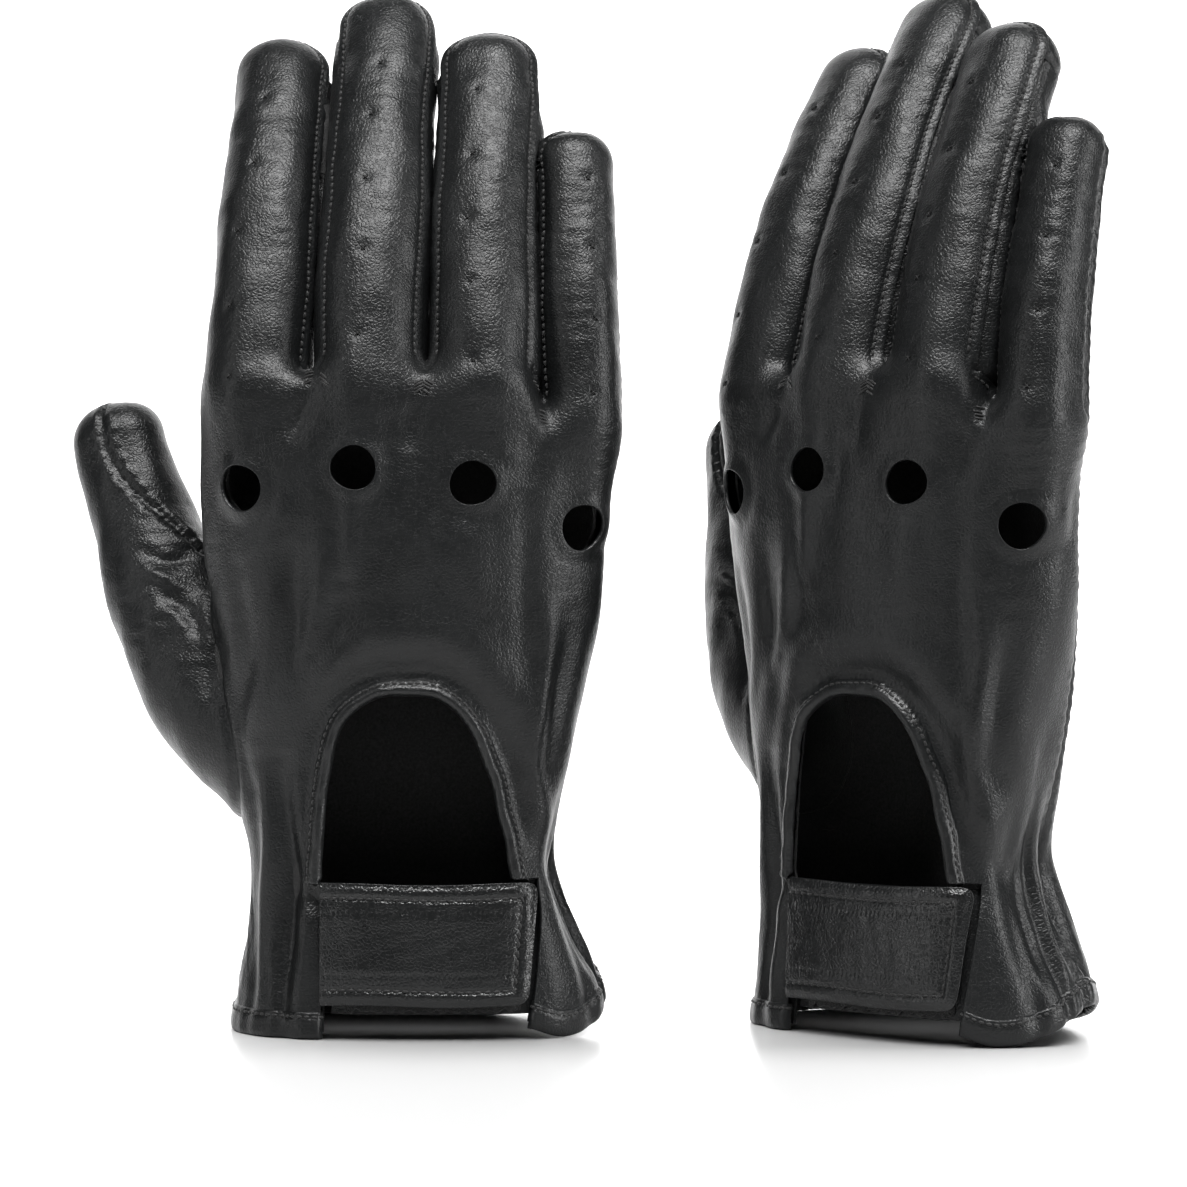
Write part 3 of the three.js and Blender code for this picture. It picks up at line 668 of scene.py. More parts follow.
def knuckle_distance(skin):
    """Distance to the edge of the nearest knuckle hole, each a slightly uneven round."""
    rest = skin["rest"]
    best = np.full(len(rest), 50.0)
    for i, centre in enumerate(knuckle_centres()):
        at = np.linalg.norm(rest - centre, axis=1).argmin()
        way = skin["normal"][at] * [1, 1, 0]
        way /= np.linalg.norm(way)
        d = rest - rest[at]
        d -= way * (d @ way)[:, None]
        turn = np.arctan2(d[:, 2], d @ np.cross(way, [0, 0, 1.0]))
        uneven = 0.2 * np.sin(2 * turn + i) + 0.12 * np.sin(3 * turn + 2 * i)
        away = np.linalg.norm(d, axis=1) - KNUCKLE_R - uneven
        best = np.minimum(best, np.where(np.linalg.norm(rest - rest[at], axis=1) < 16, away, 50.0))
    return best


def room_beside(skin):
    """Distance from each spot to the nearest other finger."""
    p = skin["rest"]
    finger = finger_of(p)
    room = np.full(len(p), 30.0)
    for i, name in enumerate(FINGERS):
        others = np.abs(finger - i) == 1
        room[others] = np.minimum(room[others], digit_field(LINES[name], p[others])[0])
    return room


def inner_side(skin):
    """1 on the sides of the fingers that face another finger, -1 on the hand's two outer sides."""
    p = skin["rest"]
    side = np.ones(len(p))
    finger = finger_of(p)
    for i, sign in ((0, 1), (3, -1)):
        mine = finger == i
        side[mine] = sign * digit_field(LINES[FINGERS[i]], p[mine])[1][:, 0]
    return side


def make_panels(skin):
    """The glove's leather panels: their own edges stand up or are drawn in, seam by seam."""
    skin["crease"] = creases(skin)
    skin["inner"] = inner_side(skin)
    skin["room"] = room_beside(skin)
    skin["knuckle"] = knuckle_distance(skin)
    body, thumb = cut(skin, -skin["thumb"]), cut(skin, skin["thumb"])
    body = keep(body, slot=0, above=1.0)
    back = keep(body, back=0, keyhole=1.2, knuckle=0)
    rest = cut(body, -body["back"])
    panels = {"back": back, "palm": cut(rest, rest["palm"]), "sides": cut(rest, -rest["palm"])}
    for name, panel in panels.items():
        x, y, z = panel["rest"].T
        crotch = np.where(x < FINGER_EDGES[2], 147.0, 139.5)
        raised = smoothstep(crotch - 3, crotch + 3, z) * smoothstep(-0.1, 0.35, panel["inner"])
        pucker = 0.12 * np.sin(z * 2 * np.pi / 3.3)
        to_back, to_palm = np.abs(panel["back"]), np.abs(panel["palm"])
        turned = -0.95 * bump(to_back, 1.0) + pucker * bump(to_back - 1.6, 1.6)
        if name == "back":
            raw = 0.6 * bump(to_back, 1.3) - 0.45 * bump(to_back - SEAM_INSET, 0.55)
            extra = mix(turned, raw, raised)
            d = panel["knuckle"]
            extra += 0.15 * bump(d - 0.4, 1.1) - 0.14 * bump(d - 2.9, 1.5)
        elif name == "palm":
            extra = mix(turned, -0.9 * bump(to_palm, 1.0), raised)
        else:
            deep = np.minimum(to_back, to_palm)
            reach = 0.44 * np.clip(panel["room"], 0, 2.6) * smoothstep(9.0, 3.0, panel["room"])
            fold = reach * smoothstep(1.4, 4.0, deep)
            fold = fold - 1.5 * bump(to_back, 1.3) - 0.7 * bump(to_palm, 1.1)
            extra = mix(turned, fold, raised)
        extra += -1.0 * bump(panel["thumb"], 1.2) + 0.2 * pucker * bump(panel["thumb"] + 2, 1.8)
        panels[name] = with_positions(panel, extra)
    panels["thumb"] = thumb_panel(thumb)
    panels["whole"] = skin
    panels["lining"] = lining_skin()
    return panels


def thumb_panel(thumb):
    """The thumb: a seam runs up its side and over to the tip."""
    _, n, along = digit_field(LINES["thumb"], thumb["rest"])
    seam = mix(1.7, -0.2, smoothstep(0.4, 1.0, along))
    turn = np.arctan2(n[:, 0], -n[:, 1]) - seam
    turn = (turn + np.pi) % (2 * np.pi) - np.pi
    d = np.abs(turn * 11.5)
    pucker = 0.14 * np.sin(thumb["rest"][:, 2] * 2 * np.pi / 3.3)
    tip = smoothstep(0.25, 0.4, along)
    extra = (-1.0 * bump(d, 0.9) + 0.25 * bump(d - 2.0, 1.3) + pucker * bump(d - 1.8, 1.6)) * tip
    extra += -1.0 * bump(thumb["thumb"], 1.2)
    return with_positions(thumb, extra)


def refine(skin):
    """Splits every triangle in four."""
    tri = skin["tri"]
    edges = np.sort(np.concatenate([tri[:, [0, 1]], tri[:, [1, 2]], tri[:, [2, 0]]]), 1)
    unique, inverse = np.unique(edges, axis=0, return_inverse=True)
    made = {}
    for key, value in skin.items():
        if key != "tri":
            made[key] = np.concatenate([value, 0.5 * (value[unique[:, 0]] + value[unique[:, 1]])])
    ab, bc, ca = (inverse.ravel() + len(skin["rest"])).reshape(3, -1)
    a, b, c = tri.T
    quarters = (a, ab, ca), (ab, b, bc), (ca, bc, c), (ab, bc, ca)
    made["tri"] = np.concatenate([np.stack(t, 1) for t in quarters])
    made["normal"] = made["normal"] / np.linalg.norm(made["normal"], axis=1)[:, None]
    return made


def pillow(s, power=2.4):
    """A rounded profile across a strip, from 0 at its edges (s = -1 and 1) to 1 in the middle."""
    return np.clip(1 - np.abs(s) ** power, 0, 1) ** (1 / power)


def binding_strip(skin):
    """The rolled edging round the keyhole."""
    k = skin["keyhole"] + 0.25 * wave(skin["rest"], 14, 21)
    strip = keep({**skin, "k": k, "z": skin["rest"][:, 2]}, k=-0.3, z=SLOT_TOP - 1.0, slot=0)
    strip = refine(cut(strip, BINDING_WIDTH + 0.1 - strip["k"]))
    s = (strip["k"] - 1.65) / 2.0
    groove = -0.45 * bump(strip["k"] - BINDING_INSET, 0.5)
    extra = -1.2 + 2.6 * pillow(s) + groove + 0.16 * wave(strip["rest"], 4.5, 22)
    return with_positions(strip, extra)


def hem_strip(skin):
    """The rolled edging round the cuff's mouth."""
    strip = keep(skin, above=0.05, slot=-0.4)
    strip = refine(cut(strip, HEM_HEIGHT - strip["above"]))
    s = (strip["above"] - 3.0) / 3.05
    groove = -0.28 * bump(strip["above"] - HEM_INSET, 0.5)
    end = pillow(1 - np.clip(strip["slot"] + 0.4, 0, 1.6) / 1.6)
    extra = -1.0 + 1.75 * pillow(s, 4) * end + groove + 0.08 * wave(strip["rest"], 6, 23)
    return with_positions(strip, extra)


# ---- Thickness, and meshes for Blender ----
def boundary(tri):
    """The edges used by one triangle only, in that triangle's order."""
    edges = np.concatenate([tri[:, [0, 1]], tri[:, [1, 2]], tri[:, [2, 0]]])
    key = np.sort(edges, 1)
    _, first, count = np.unique(key, axis=0, return_index=True, return_counts=True)
    return edges[first[count == 1]]


class Batch:
    """Collects shells, rims and threads, then makes one mesh of them."""

    def __init__(self):
        self.points, self.normals, self.rest, self.tris, self.kinds, self.total = [], [], [], [], [], 0

    def add(self, points, normals, tris, kind=0, rest=None):
        self.points.append(points)
        self.normals.append(normals)
        self.rest.append(points if rest is None else rest)
        self.tris.append(np.asarray(tris) + self.total)
        self.kinds.append(np.full(len(tris), kind))
        self.total += len(points)

    def shell(self, skin, thickness=LEATHER, closed=False):
        """A skin with rounded rims as deep as its thickness, and with an inner face when closed."""
        p, n, rest = skin["pos"], skin["normal"], skin["rest"]
        self.add(p, n, skin["tri"], rest=rest)
        if closed:
            self.add(p - n * thickness, -n, skin["tri"][:, ::-1], 1, rest)
        edges = boundary(skin["tri"])
        if "finger" in skin and len(edges):
            joined = np.abs(skin["finger"][edges]).max(1) < 2e-3
            edges = edges[~joined]
        if not len(edges):
            return
        along = p[edges[:, 1]] - p[edges[:, 0]]
        out = np.zeros_like(p)
        for k in (0, 1):
            np.add.at(out, edges[:, k], np.cross(along, n[edges[:, k]]))
        used, flat = np.unique(edges, return_inverse=True)
        flat = flat.reshape(-1, 2)
        o = out[used]
        o /= np.maximum(np.linalg.norm(o, axis=1), 1e-9)[:, None]
        q, m, r = p[used], n[used], rest[used]
        # Across the rim: the share of the thickness down and out, and the shading normal.
        rows = [
            (0, 0, m), (0.12, 0.16, m * 0.6 + o), (0.5, 0.24, o),
            (0.88, 0.16, o - m * 0.6), (1, 0, o - m),
        ]
        count = len(used)
        points = np.concatenate([q - m * thickness * d + o * thickness * w for d, w, _ in rows])
        normals = np.concatenate([v / np.linalg.norm(v, axis=1)[:, None] for _, _, v in rows])
        a, b = flat.T
        tris = []
        for i in range(len(rows) - 1):
            low, high = i * count, (i + 1) * count
            tris += [np.stack([b + low, a + low, a + high], 1), np.stack([b + low, a + high, b + high], 1)]
        self.add(points, normals, np.concatenate(tris), rest=np.concatenate([r] * len(rows)))

    def threads(self, centres, along, normals, length=1.3, radius=0.34, kind=0, lift=0.14):
        """Little rounded stitches, laid along their own directions."""
        if not len(centres):
            return
        rings, sides = np.array([-1, -0.72, 0, 0.72, 1.0]), 6
        size = np.array([0.35, 0.85, 1.0, 0.85, 0.35])
        turn = np.arange(sides) * 2 * np.pi / sides
        side = np.cross(normals, along)
        side /= np.linalg.norm(side, axis=1)[:, None]
        dip = np.array([-0.32, -0.06, 0.04, -0.06, -0.32])
        points, outs = [], []
        for ring, s, d in zip(rings, size, dip):
            for t in turn:
                o = side * np.cos(t) + normals * np.sin(t)
                points.append(centres + along * ring * length / 2 + normals * (lift + d) + o * radius * s)
                outs.append(o + along * ring * 0.5)
        points, outs = np.stack(points, 1), np.stack(outs, 1)
        outs /= np.linalg.norm(outs, axis=2)[..., None]
        tris = []
        for i in range(len(rings) - 1):
            for j in range(sides):
                a, b = i * sides + j, i * sides + (j + 1) % sides
                tris += [(a, a + sides, b), (b, a + sides, b + sides)]
        for j in range(1, sides - 1):
            last = (len(rings) - 1) * sides
            tris += [(0, j, j + 1), (last, last + j + 1, last + j)]
        tris = np.array(tris)[:, ::-1]
        step = points.shape[1]
        every = (tris[None] + (np.arange(len(centres)) * step)[:, None, None]).reshape(-1, 3)
        self.add(points.reshape(-1, 3), outs.reshape(-1, 3), every, kind)

    def stitches(self, line, pitch=STITCH, **options):
        """Stitches along a line of points and normals (6 columns)."""
        steps = np.linalg.norm(np.diff(line[:, :3], axis=0), axis=1).sum()
        count = int(steps / pitch)
        if count < 2:
            return
        fine = resample(line, count * 2 + 1, 3)
        at = fine[1::2]
        along = fine[2::2, :3] - fine[:-1:2, :3]
        n = at[:, 3:] / np.linalg.norm(at[:, 3:], axis=1)[:, None]
        along -= n * (along * n).sum(1)[:, None]
        along /= np.maximum(np.linalg.norm(along, axis=1), 1e-9)[:, None]
        self.threads(at[:, :3], along, n, length=pitch * 0.8, **options)

    def make(self, name, place, materials):
        """One mesh object at a glove's place, with its shading normals and its texture coordinates."""
        x, y, turn = place
        c, s = math.cos(math.radians(turn)), math.sin(math.radians(turn))
        spin = np.array([[c, s, 0], [-s, c, 0], [0, 0, 1.0]])
        points, normals = np.concatenate(self.points), np.concatenate(self.normals)
        tris, kinds = np.concatenate(self.tris), np.concatenate(self.kinds)
        world = (points @ spin + [x, y, 0]) / 1000
        mesh = bpy.data.meshes.new(name)
        mesh.vertices.add(len(world))
        mesh.vertices.foreach_set("co", world.astype(np.float32).ravel())
        mesh.loops.add(tris.size)
        mesh.loops.foreach_set("vertex_index", tris.astype(np.int32).ravel())
        mesh.polygons.add(len(tris))
        mesh.polygons.foreach_set("loop_start", np.arange(0, tris.size, 3, dtype=np.int32))
        mesh.polygons.foreach_set("material_index", kinds.astype(np.int32))
        mesh.update(calc_edges=True)
        mesh.polygons.foreach_set("use_smooth", np.ones(len(tris), bool))
        mesh.normals_split_custom_set_from_vertices((normals @ spin).tolist())
        spots = mesh.attributes.new("spot", "FLOAT_VECTOR", "POINT")
        spots.data.foreach_set("vector", np.concatenate(self.rest).astype(np.float32).ravel())
        for material in materials[: kinds.max() + 1]:
            mesh.materials.append(material)
        made = bpy.data.objects.new(name, mesh)
        bpy.context.scene.collection.objects.link(made)
        return made


# ---- Structured pieces: strap, tab, pads and elastic ----
def back_point(x, z, depth):
    """The point at x and z that lies depth mm below the back of the hand."""
    cx, half, cy, back, _, thumb, little = hand_section(z)
    power = np.where(x < cx, thumb, little)
    share = np.minimum(np.abs(x - cx) / (half - depth), 0.999)
    return np.stack([x, cy - (back - depth) * (1 - share**power) ** (1 / power), z], -1)


def hand_point(angle, z, depth):
    """The point depth mm inside the hand, at an angle round it and a height."""
    cx, half, cy, back, palm, thumb, little = hand_section(z)
    turn = np.radians(angle)
    c, s = np.cos(turn), np.sin(turn)
    power = 2 / np.where(c < 0, thumb, little)
    deep = np.where(s < 0, back, palm)
    x = cx + (half - depth) * np.sign(c) * np.abs(c) ** power
    y = cy + (deep - depth) * np.sign(s) * np.abs(s) ** power
    return np.stack([x, y, z], -1)


def grid_skin(point, columns, rows):
    """A skin over a grid of u and v from 0 to 1; point returns places facing out of the glove."""
    u, v = np.meshgrid(np.linspace(0, 1, columns), np.linspace(0, 1, rows))
    p = point(u.ravel(), v.ravel())
    k = np.arange(columns * rows).reshape(rows, columns)
    a, b, c, d = (q.ravel() for q in (k[:-1, :-1], k[:-1, 1:], k[1:, 1:], k[1:, :-1]))
    tri = np.concatenate([np.stack([a, b, c], 1), np.stack([a, c, d], 1)])
    n = vertex_normals(p, tri)
    if (n[:, :2] * (p[:, :2] - [0, 2])).sum() < 0:
        tri, n = tri[:, ::-1], -n
    return {"tri": tri, "rest": p.copy(), "pos": p, "normal": n, "u": u.ravel(), "v": v.ravel()}


STRAP_FROM, STRAP_TO, STRAP_LOW, STRAP_HIGH = -18.2, (27.6, 29.8), 7.6, 34.0
STRAP_LENGTH = 46


def strap_edges(u, v):
    """How far a spot of the strap lies from its long edges and from its free end."""
    return np.minimum(v, 1 - v) * (STRAP_HIGH - STRAP_LOW), (1 - u) * STRAP_LENGTH


def strap_skin():
    """The closing strap with its stitched groove, two pressed rows and a softly uneven face."""
    def place(u, v):
        # The free end's corners are rounded off.
        corner = np.clip(np.abs(v - 0.5) * 2 - 0.78, 0, 1) / 0.22
        end = mix(*STRAP_TO, v) - 2.4 * (1 - np.sqrt(np.clip(1 - corner**2, 0, 1)))
        return mix(STRAP_FROM, end, u), mix(STRAP_LOW, STRAP_HIGH, v) + 0.25 * np.sin(u * 7.0 + v)

    def point(u, v):
        x, z = place(u, v)
        across, along = strap_edges(u, v)
        edge = np.minimum(across, along)
        rise = 0.55 * (1 - bump(edge, 1.0)) - 0.3 * bump(edge - STRAP_INSET, 0.55)
        rise += 0.35 * smoothstep(3.6, 8.0, edge)
        for row in (14.2, 27.8):
            dot = 0.5 + 0.5 * np.cos(x * 2 * np.pi / 1.15)
            rise -= 0.13 * bump(z - row, 0.6) * dot * smoothstep(1.5, 4, along)
        flat = np.stack([x, 0 * x, z], 1)
        rise += 0.16 * wave(flat * [1, 1, 0.6], 15, 31) + 0.05 * wave(flat, 4, 32)
        rise += 0.5 * u**2 * smoothstep(0.3, 0.0, v)
        return back_point(x, z, -0.55 - rise)

    fine = 2
    return grid_skin(point, 90 * fine, 54 * fine)


def pad_skin(start, ends, low, high, depth, seed, fuzz):
    """A flat pad of hook or loop tape with a ragged outline."""
    def point(u, v):
        x, z = mix(start, mix(*ends, v), u), mix(low, high, v)
        flat = np.stack([x, 0 * x, z], 1)
        ragged = fuzz * wave(flat, 1.5, seed + 1) * bump(np.minimum(v, 1 - v), 0.03)
        return back_point(x, z + ragged, depth - 0.12 * wave(flat, 1.7, seed))

    return grid_skin(point, 90, 50)


def tab_skin():
    """The leather tab below the strap."""
    def point(u, v):
        angle = mix(246, 357, u)
        lift = 0.6 * smoothstep(341, 346, angle)
        return hand_point(angle, mix(5.6, 33.6, v), 2.2 - lift)

    return grid_skin(point, 80, 24)


def elastic_skin():
    """A ribbed elastic band inside the wrist, on the palm's side."""
    def point(u, v):
        rib = 0.25 * np.abs(np.sin(v * np.pi * 5)) + 0.2 * np.sin(u * 2 * np.pi * 26)
        return hand_point(mix(28, 150, u), mix(36, 43, v), 1.5 - rib)

    return grid_skin(point, 260, 21)


# ---- Parts that the panels split into ----
def split_panel(panel):
    """The part of a panel on the hand, and its part on each finger."""
    parts = {"hand": cut(panel, -panel["finger"])}
    top = cut(panel, panel["finger"])
    finger = finger_of(top["rest"][top["tri"]].mean(1))
    for i, name in enumerate(FINGERS):
        parts[name] = select(top, finger == i)
    return parts


def near_spots(skin, places):
    """The spots of a skin nearest to places given by x and z."""
    p = skin["pos"]
    found = [np.hypot(p[:, 0] - x, p[:, 2] - z).argmin() for x, z in places]
    return p[found], skin["normal"][found]


def crossed(points, normals, angle):
    """Directions along the surface, turned by angle degrees from level."""
    level = np.cross(normals, [0, 0, 1.0])
    level /= np.linalg.norm(level, axis=1)[:, None]
    up = np.cross(level, normals)
    return level * math.cos(math.radians(angle)) + up * math.sin(math.radians(angle))


def prick_dents(panel):
    """Small hollows round the vent pricks."""
    spots, normals = near_spots(panel, PRICKS)
    dent = np.zeros(len(panel["pos"]))
    for spot in spots:
        dent -= 0.42 * bump(np.linalg.norm(panel["pos"] - spot, axis=1), 1.5)
    panel["pos"] = panel["pos"] + panel["normal"] * dent[:, None]
    panel["normal"] = vertex_normals(panel["pos"], panel["tri"])
    return spots + normals * -0.34, normals


def glove_parts():
    """Every piece of a glove as name: (batch, body, replaced nodes, slot, materials' kind)."""
    panels = make_panels(label_fields(glove_skin(VOXEL)))
    pricks, prick_normals = prick_dents(panels["back"])
    made = {}

    def piece(name, body, nodes, slot, kind):
        made[name] = (Batch(), body, nodes, slot, kind)
        return made[name][0]

    sides = {
        "hand": ["web_gusset_index_middle", "web_gusset_middle_ring", "web_gusset_ring_little"],
        "index": ["index_fourchette_outer"],
        "middle": ["middle_fourchette_inner", "middle_fourchette_outer"],
        "ring": ["ring_fourchette_inner", "ring_fourchette_outer"],
        "little": ["little_fourchette_inner"],
    }
    threads = {}
    for part in ("hand",) + FINGERS:
        threads[part] = piece(f"stitching_{part}", part, [], "leather", "thread")
    for which in ("back", "palm", "sides"):
        for part, skin in split_panel(panels[which]).items():
            nodes = [f"{which}_panel" if part == "hand" else f"{part}_{which}"]
            nodes = sides[part] if which == "sides" else nodes
            piece(f"leather_{which}_{part}", part, nodes, "leather", "leather").shell(skin)
            if which == "back" and part != "hand":
                zone = cut(skin, skin["inner"] - 0.1)
                for line in contours(zone, zone["back"] - SEAM_INSET):
                    threads[part].stitches(line)
    for centre, normal in zip(pricks, prick_normals):
        part = FINGERS[np.digitize(centre[0], FINGER_EDGES)] if centre[2] > 149 else "hand"
        c, n = centre[None], normal[None]
        # Two crossed slits in the near-black second thread material paint the shade inside each vent prick;
        # the raised dot between them, in the lighter thread colour, is a painted highlight for the prick's
        # glint.
        for angle in (45, -45):
            threads[part].threads(c, crossed(c, n, angle), n, length=1.9, radius=0.17, kind=1)
        threads[part].threads(c, crossed(c, n, 0), n, length=0.5, radius=0.26, lift=0.22)
    # Tacks close the crotches. Each has four threads, at x and z and with a tilt.
    tacks = (-20.8, 146.6, -25), (-17.2, 146.2, 35), (3.4, 144.8, -30), (5.6, 144.6, 30), (30.6, 138.2, 15)
    for x, z, tilt in tacks:
        for k in range(4):
            c, n = near_spots(panels["back"], [(x, z - k * 0.75)])
            threads["hand"].threads(c, crossed(c, n, tilt), n, length=2.6, radius=0.26)
    nodes = ["thumb_base", "thumb_back", "thumb_palm"]
    piece("leather_thumb", "thumb", nodes, "leather", "leather").shell(panels["thumb"])
    whole = panels["whole"]
    binding, hem = binding_strip(whole), hem_strip(whole)
    piece("binding", "hand", ["keyhole_binding"], "binding_leather", "binding").shell(binding, 2.0)
    piece("hem", "hand", ["cuff_hem"], "binding_leather", "binding").shell(hem, 2.0)
    for line in contours(binding, binding["k"] - BINDING_INSET) + contours(hem, hem["above"] - HEM_INSET):
        threads["hand"].stitches(line, lift=0.05)
    strap = strap_skin()
    piece("strap", "strap", ["strap"], "strap_leather", "strap").shell(strap, 0.9, closed=True)
    sewn = piece("stitching_strap", "strap", [], "strap_leather", "thread")
    for line in contours(strap, np.minimum(*strap_edges(strap["u"], strap["v"])) - STRAP_INSET):
        sewn.stitches(line, pitch=2.0, lift=0.05)
    piece("hook_pad_face", "strap", ["hook_pad"], "hook_tape", "hooks").shell(
        pad_skin(-4, (24.6, 26), 10.5, 32, 0.0, 41, 0.1), 0.5, closed=True)
    piece("loop_pad_face", "hand", ["loop_pad"], "loop_tape", "loops").shell(
        pad_skin(-12, (25.8, 27.4), 6.4, 33, 1.1, 43, 0.5), 0.8, closed=True)
    piece("tab", "hand", ["closure_tab"], "leather", "leather").shell(tab_skin(), 0.9, closed=True)
    band = piece("elastic_band", "hand", ["wrist_elastic"], "elastic", "elastic")
    band.shell(elastic_skin(), 0.7, closed=True)
    lining = panels["lining"]
    thumb = cut(lining, lining["thumb"])
    piece("lining_thumb", "thumb", [], "leather", "suede").shell(thumb, 0.5)
    for part, skin in split_panel(cut(lining, -lining["thumb"])).items():
        piece(f"lining_{part}", part, [], "leather", "suede").shell(skin, 0.5)
    return made


def lining_skin():
    """The flesh side of the leather, as a coarser surface inside the outer one."""
    skin = label_fields(glove_skin(LINING_GRID))
    skin["knuckle"] = knuckle_distance(skin)
    skin["crease"] = 0.35 * wave(skin["rest"], 18, 51)
    skin = keep(skin, slot=0, above=1.5, keyhole=2.6, knuckle=2.2)
    skin["pos"] = skin["rest"] + skin["normal"] * (skin["crease"] - LINING_DEPTH)[:, None]
    return skin


# ---- Materials ----
def nodes_of(name):
    material = bpy.data.materials.new(name)
    material.use_nodes = True
    tree = material.node_tree
    shader = tree.nodes["Principled BSDF"]
    return material, tree, shader


def add(tree, kind, **values):
    node = tree.nodes.new(kind)
    for key, value in values.items():
        if key in node.inputs:
            node.inputs[key].default_value = value
        else:
            setattr(node, key, value)
    return node


def spot_vector(tree, scale=(1, 1, 1)):
    """Texture coordinates in mm, fixed to the leather."""
    attribute = add(tree, "ShaderNodeAttribute", attribute_name="spot")
    mapping = add(tree, "ShaderNodeMapping")
    mapping.inputs["Scale"].default_value = scale
    tree.links.new(attribute.outputs["Vector"], mapping.inputs["Vector"])
    return mapping.outputs["Vector"]


def noise(tree, vector, scale, detail=3.0, roughness=0.5, distortion=0.0):
    options = {"Scale": scale, "Detail": detail, "Roughness": roughness, "Distortion": distortion}
    node = add(tree, "ShaderNodeTexNoise", **options)
    tree.links.new(vector, node.inputs["Vector"])
    return node.outputs["Fac"]


def ramp(tree, value, stops):
    node = tree.nodes.new("ShaderNodeValToRGB")
    for i, (at, colour) in enumerate(stops):
        element = node.color_ramp.elements[i] if i < 2 else node.color_ramp.elements.new(at)
        element.position = at
        element.color = (*colour, 1)
    tree.links.new(value, node.inputs["Fac"])
    return node.outputs["Color"]


def bumped(tree, shader, layers):
    """Stacks bump layers, each a height and the height's size in mm."""
    normal = None
    for height, size in layers:
        node = add(tree, "ShaderNodeBump", Strength=1.0, Distance=size / 1000)
        tree.links.new(height, node.inputs["Height"])
        if normal:
            tree.links.new(normal, node.inputs["Normal"])
        normal = node.outputs["Normal"]
    tree.links.new(normal, shader.inputs["Normal"])


def pebbles(tree, vector, scale):
    """Leather grain: rounded cells with thin valleys between."""
    warp = add(tree, "ShaderNodeTexNoise", Scale=scale * 0.6, Detail=2.0)
    tree.links.new(vector, warp.inputs["Vector"])
    shift = add(tree, "ShaderNodeVectorMath", operation="MULTIPLY_ADD")
    tree.links.new(warp.outputs["Color"], shift.inputs[0])
    shift.inputs[1].default_value = (0.7 / scale,) * 3
    tree.links.new(vector, shift.inputs[2])
    cells = add(tree, "ShaderNodeTexVoronoi", Scale=scale, feature="DISTANCE_TO_EDGE")
    tree.links.new(shift.outputs[0], cells.inputs["Vector"])
    rounded = add(tree, "ShaderNodeMapRange", interpolation_type="SMOOTHSTEP")
    rounded.inputs["From Max"].default_value = 0.28
    tree.links.new(cells.outputs["Distance"], rounded.inputs["Value"])
    return rounded.outputs["Result"]


def leather(name, dark, light, rough, grain, drawn_by=1.0, gloss=0.35):
    """Finished leather: patchy tone and gloss over drawn-out creases, pebbled cells and fine grain."""
    material, tree, shader = nodes_of(name)
    v = spot_vector(tree)
    patches = noise(tree, v, 0.05, 4.0, 0.6)
    shader.inputs["Specular IOR Level"].default_value = gloss
    tree.links.new(ramp(tree, patches, [(0.3, dark), (0.7, light)]), shader.inputs["Base Color"])
    cells = pebbles(tree, v, 1.15)
    low, high = rough
    dull = ramp(tree, noise(tree, v, 0.22, 5.0, 0.65), [(0.3, (low,) * 3), (0.72, (high,) * 3)])
    tree.links.new(dull, shader.inputs["Roughness"])
    fine = noise(tree, v, 3.2, 3.0, 0.6)
    drawn = noise(tree, spot_vector(tree, (1, 1, 0.5)), 0.35, 4.0, 0.6, 0.6)
    bumped(tree, shader, [(drawn, 0.16 * drawn_by), (cells, 0.042 * grain), (fine, 0.015 * grain)])
    return material


def plain_cloth(name, dark, light, rough, scale, depth):
    """A fuzzy matt material, for suede, thread and tapes."""
    material, tree, shader = nodes_of(name)
    v = spot_vector(tree)
    shader.inputs["Specular IOR Level"].default_value = 0.2
    shader.inputs["Sheen Weight"].default_value = 0.15
    shader.inputs["Roughness"].default_value = rough
    fuzz = noise(tree, v, scale, 5.0, 0.7)
    tree.links.new(ramp(tree, fuzz, [(0.35, dark), (0.7, light)]), shader.inputs["Base Color"])
    bumped(tree, shader, [(fuzz, depth)])
    return material


def grey(value, tint=0.0):
    """A grey that a tint turns slightly blue."""
    return (value * (1 - tint), value, value * (1 + tint * 0.5))


def make_materials():
    """The outer and the inner material of every kind of piece."""
    outer = leather("black_leather", grey(0.004, 0.08), grey(0.008, 0.08), (0.33, 0.43), 1.0, gloss=0.32)
    suede = plain_cloth("leather_flesh_side", grey(0.012), grey(0.03), 0.9, 1.6, 0.25)
    binding = leather("binding_leather", grey(0.005, 0.06), grey(0.009, 0.06), (0.3, 0.42), 0.8)
    dark, light = grey(0.004, 0.06), grey(0.008, 0.06)
    strap = leather("strap_leather", dark, light, (0.27, 0.31), 1.0, drawn_by=0.35, gloss=0.45)
    thread = plain_cloth("black_thread", grey(0.010), grey(0.024), 0.42, 4.0, 0.05)
    # Near-black material for the vent pricks' slits: painted shade inside the punctures.
    prick_shade = plain_cloth("painted_prick_shade", grey(0.002), grey(0.004), 0.9, 4.0, 0.05)
    hooks = plain_cloth("hook_tape", grey(0.008), grey(0.03), 0.45, 2.4, 0.35)
    loops = plain_cloth("loop_tape", grey(0.010), grey(0.045), 0.95, 2.0, 0.6)
    elastic = plain_cloth("elastic_weave", grey(0.010), grey(0.03), 0.8, 1.4, 0.3)
    return {
        "leather": [outer, suede], "suede": [suede, suede], "binding": [binding, suede],
        "strap": [strap, suede], "thread": [thread, prick_shade], "hooks": [hooks, suede],
        "loops": [loops, suede], "elastic": [elastic, elastic],
    }


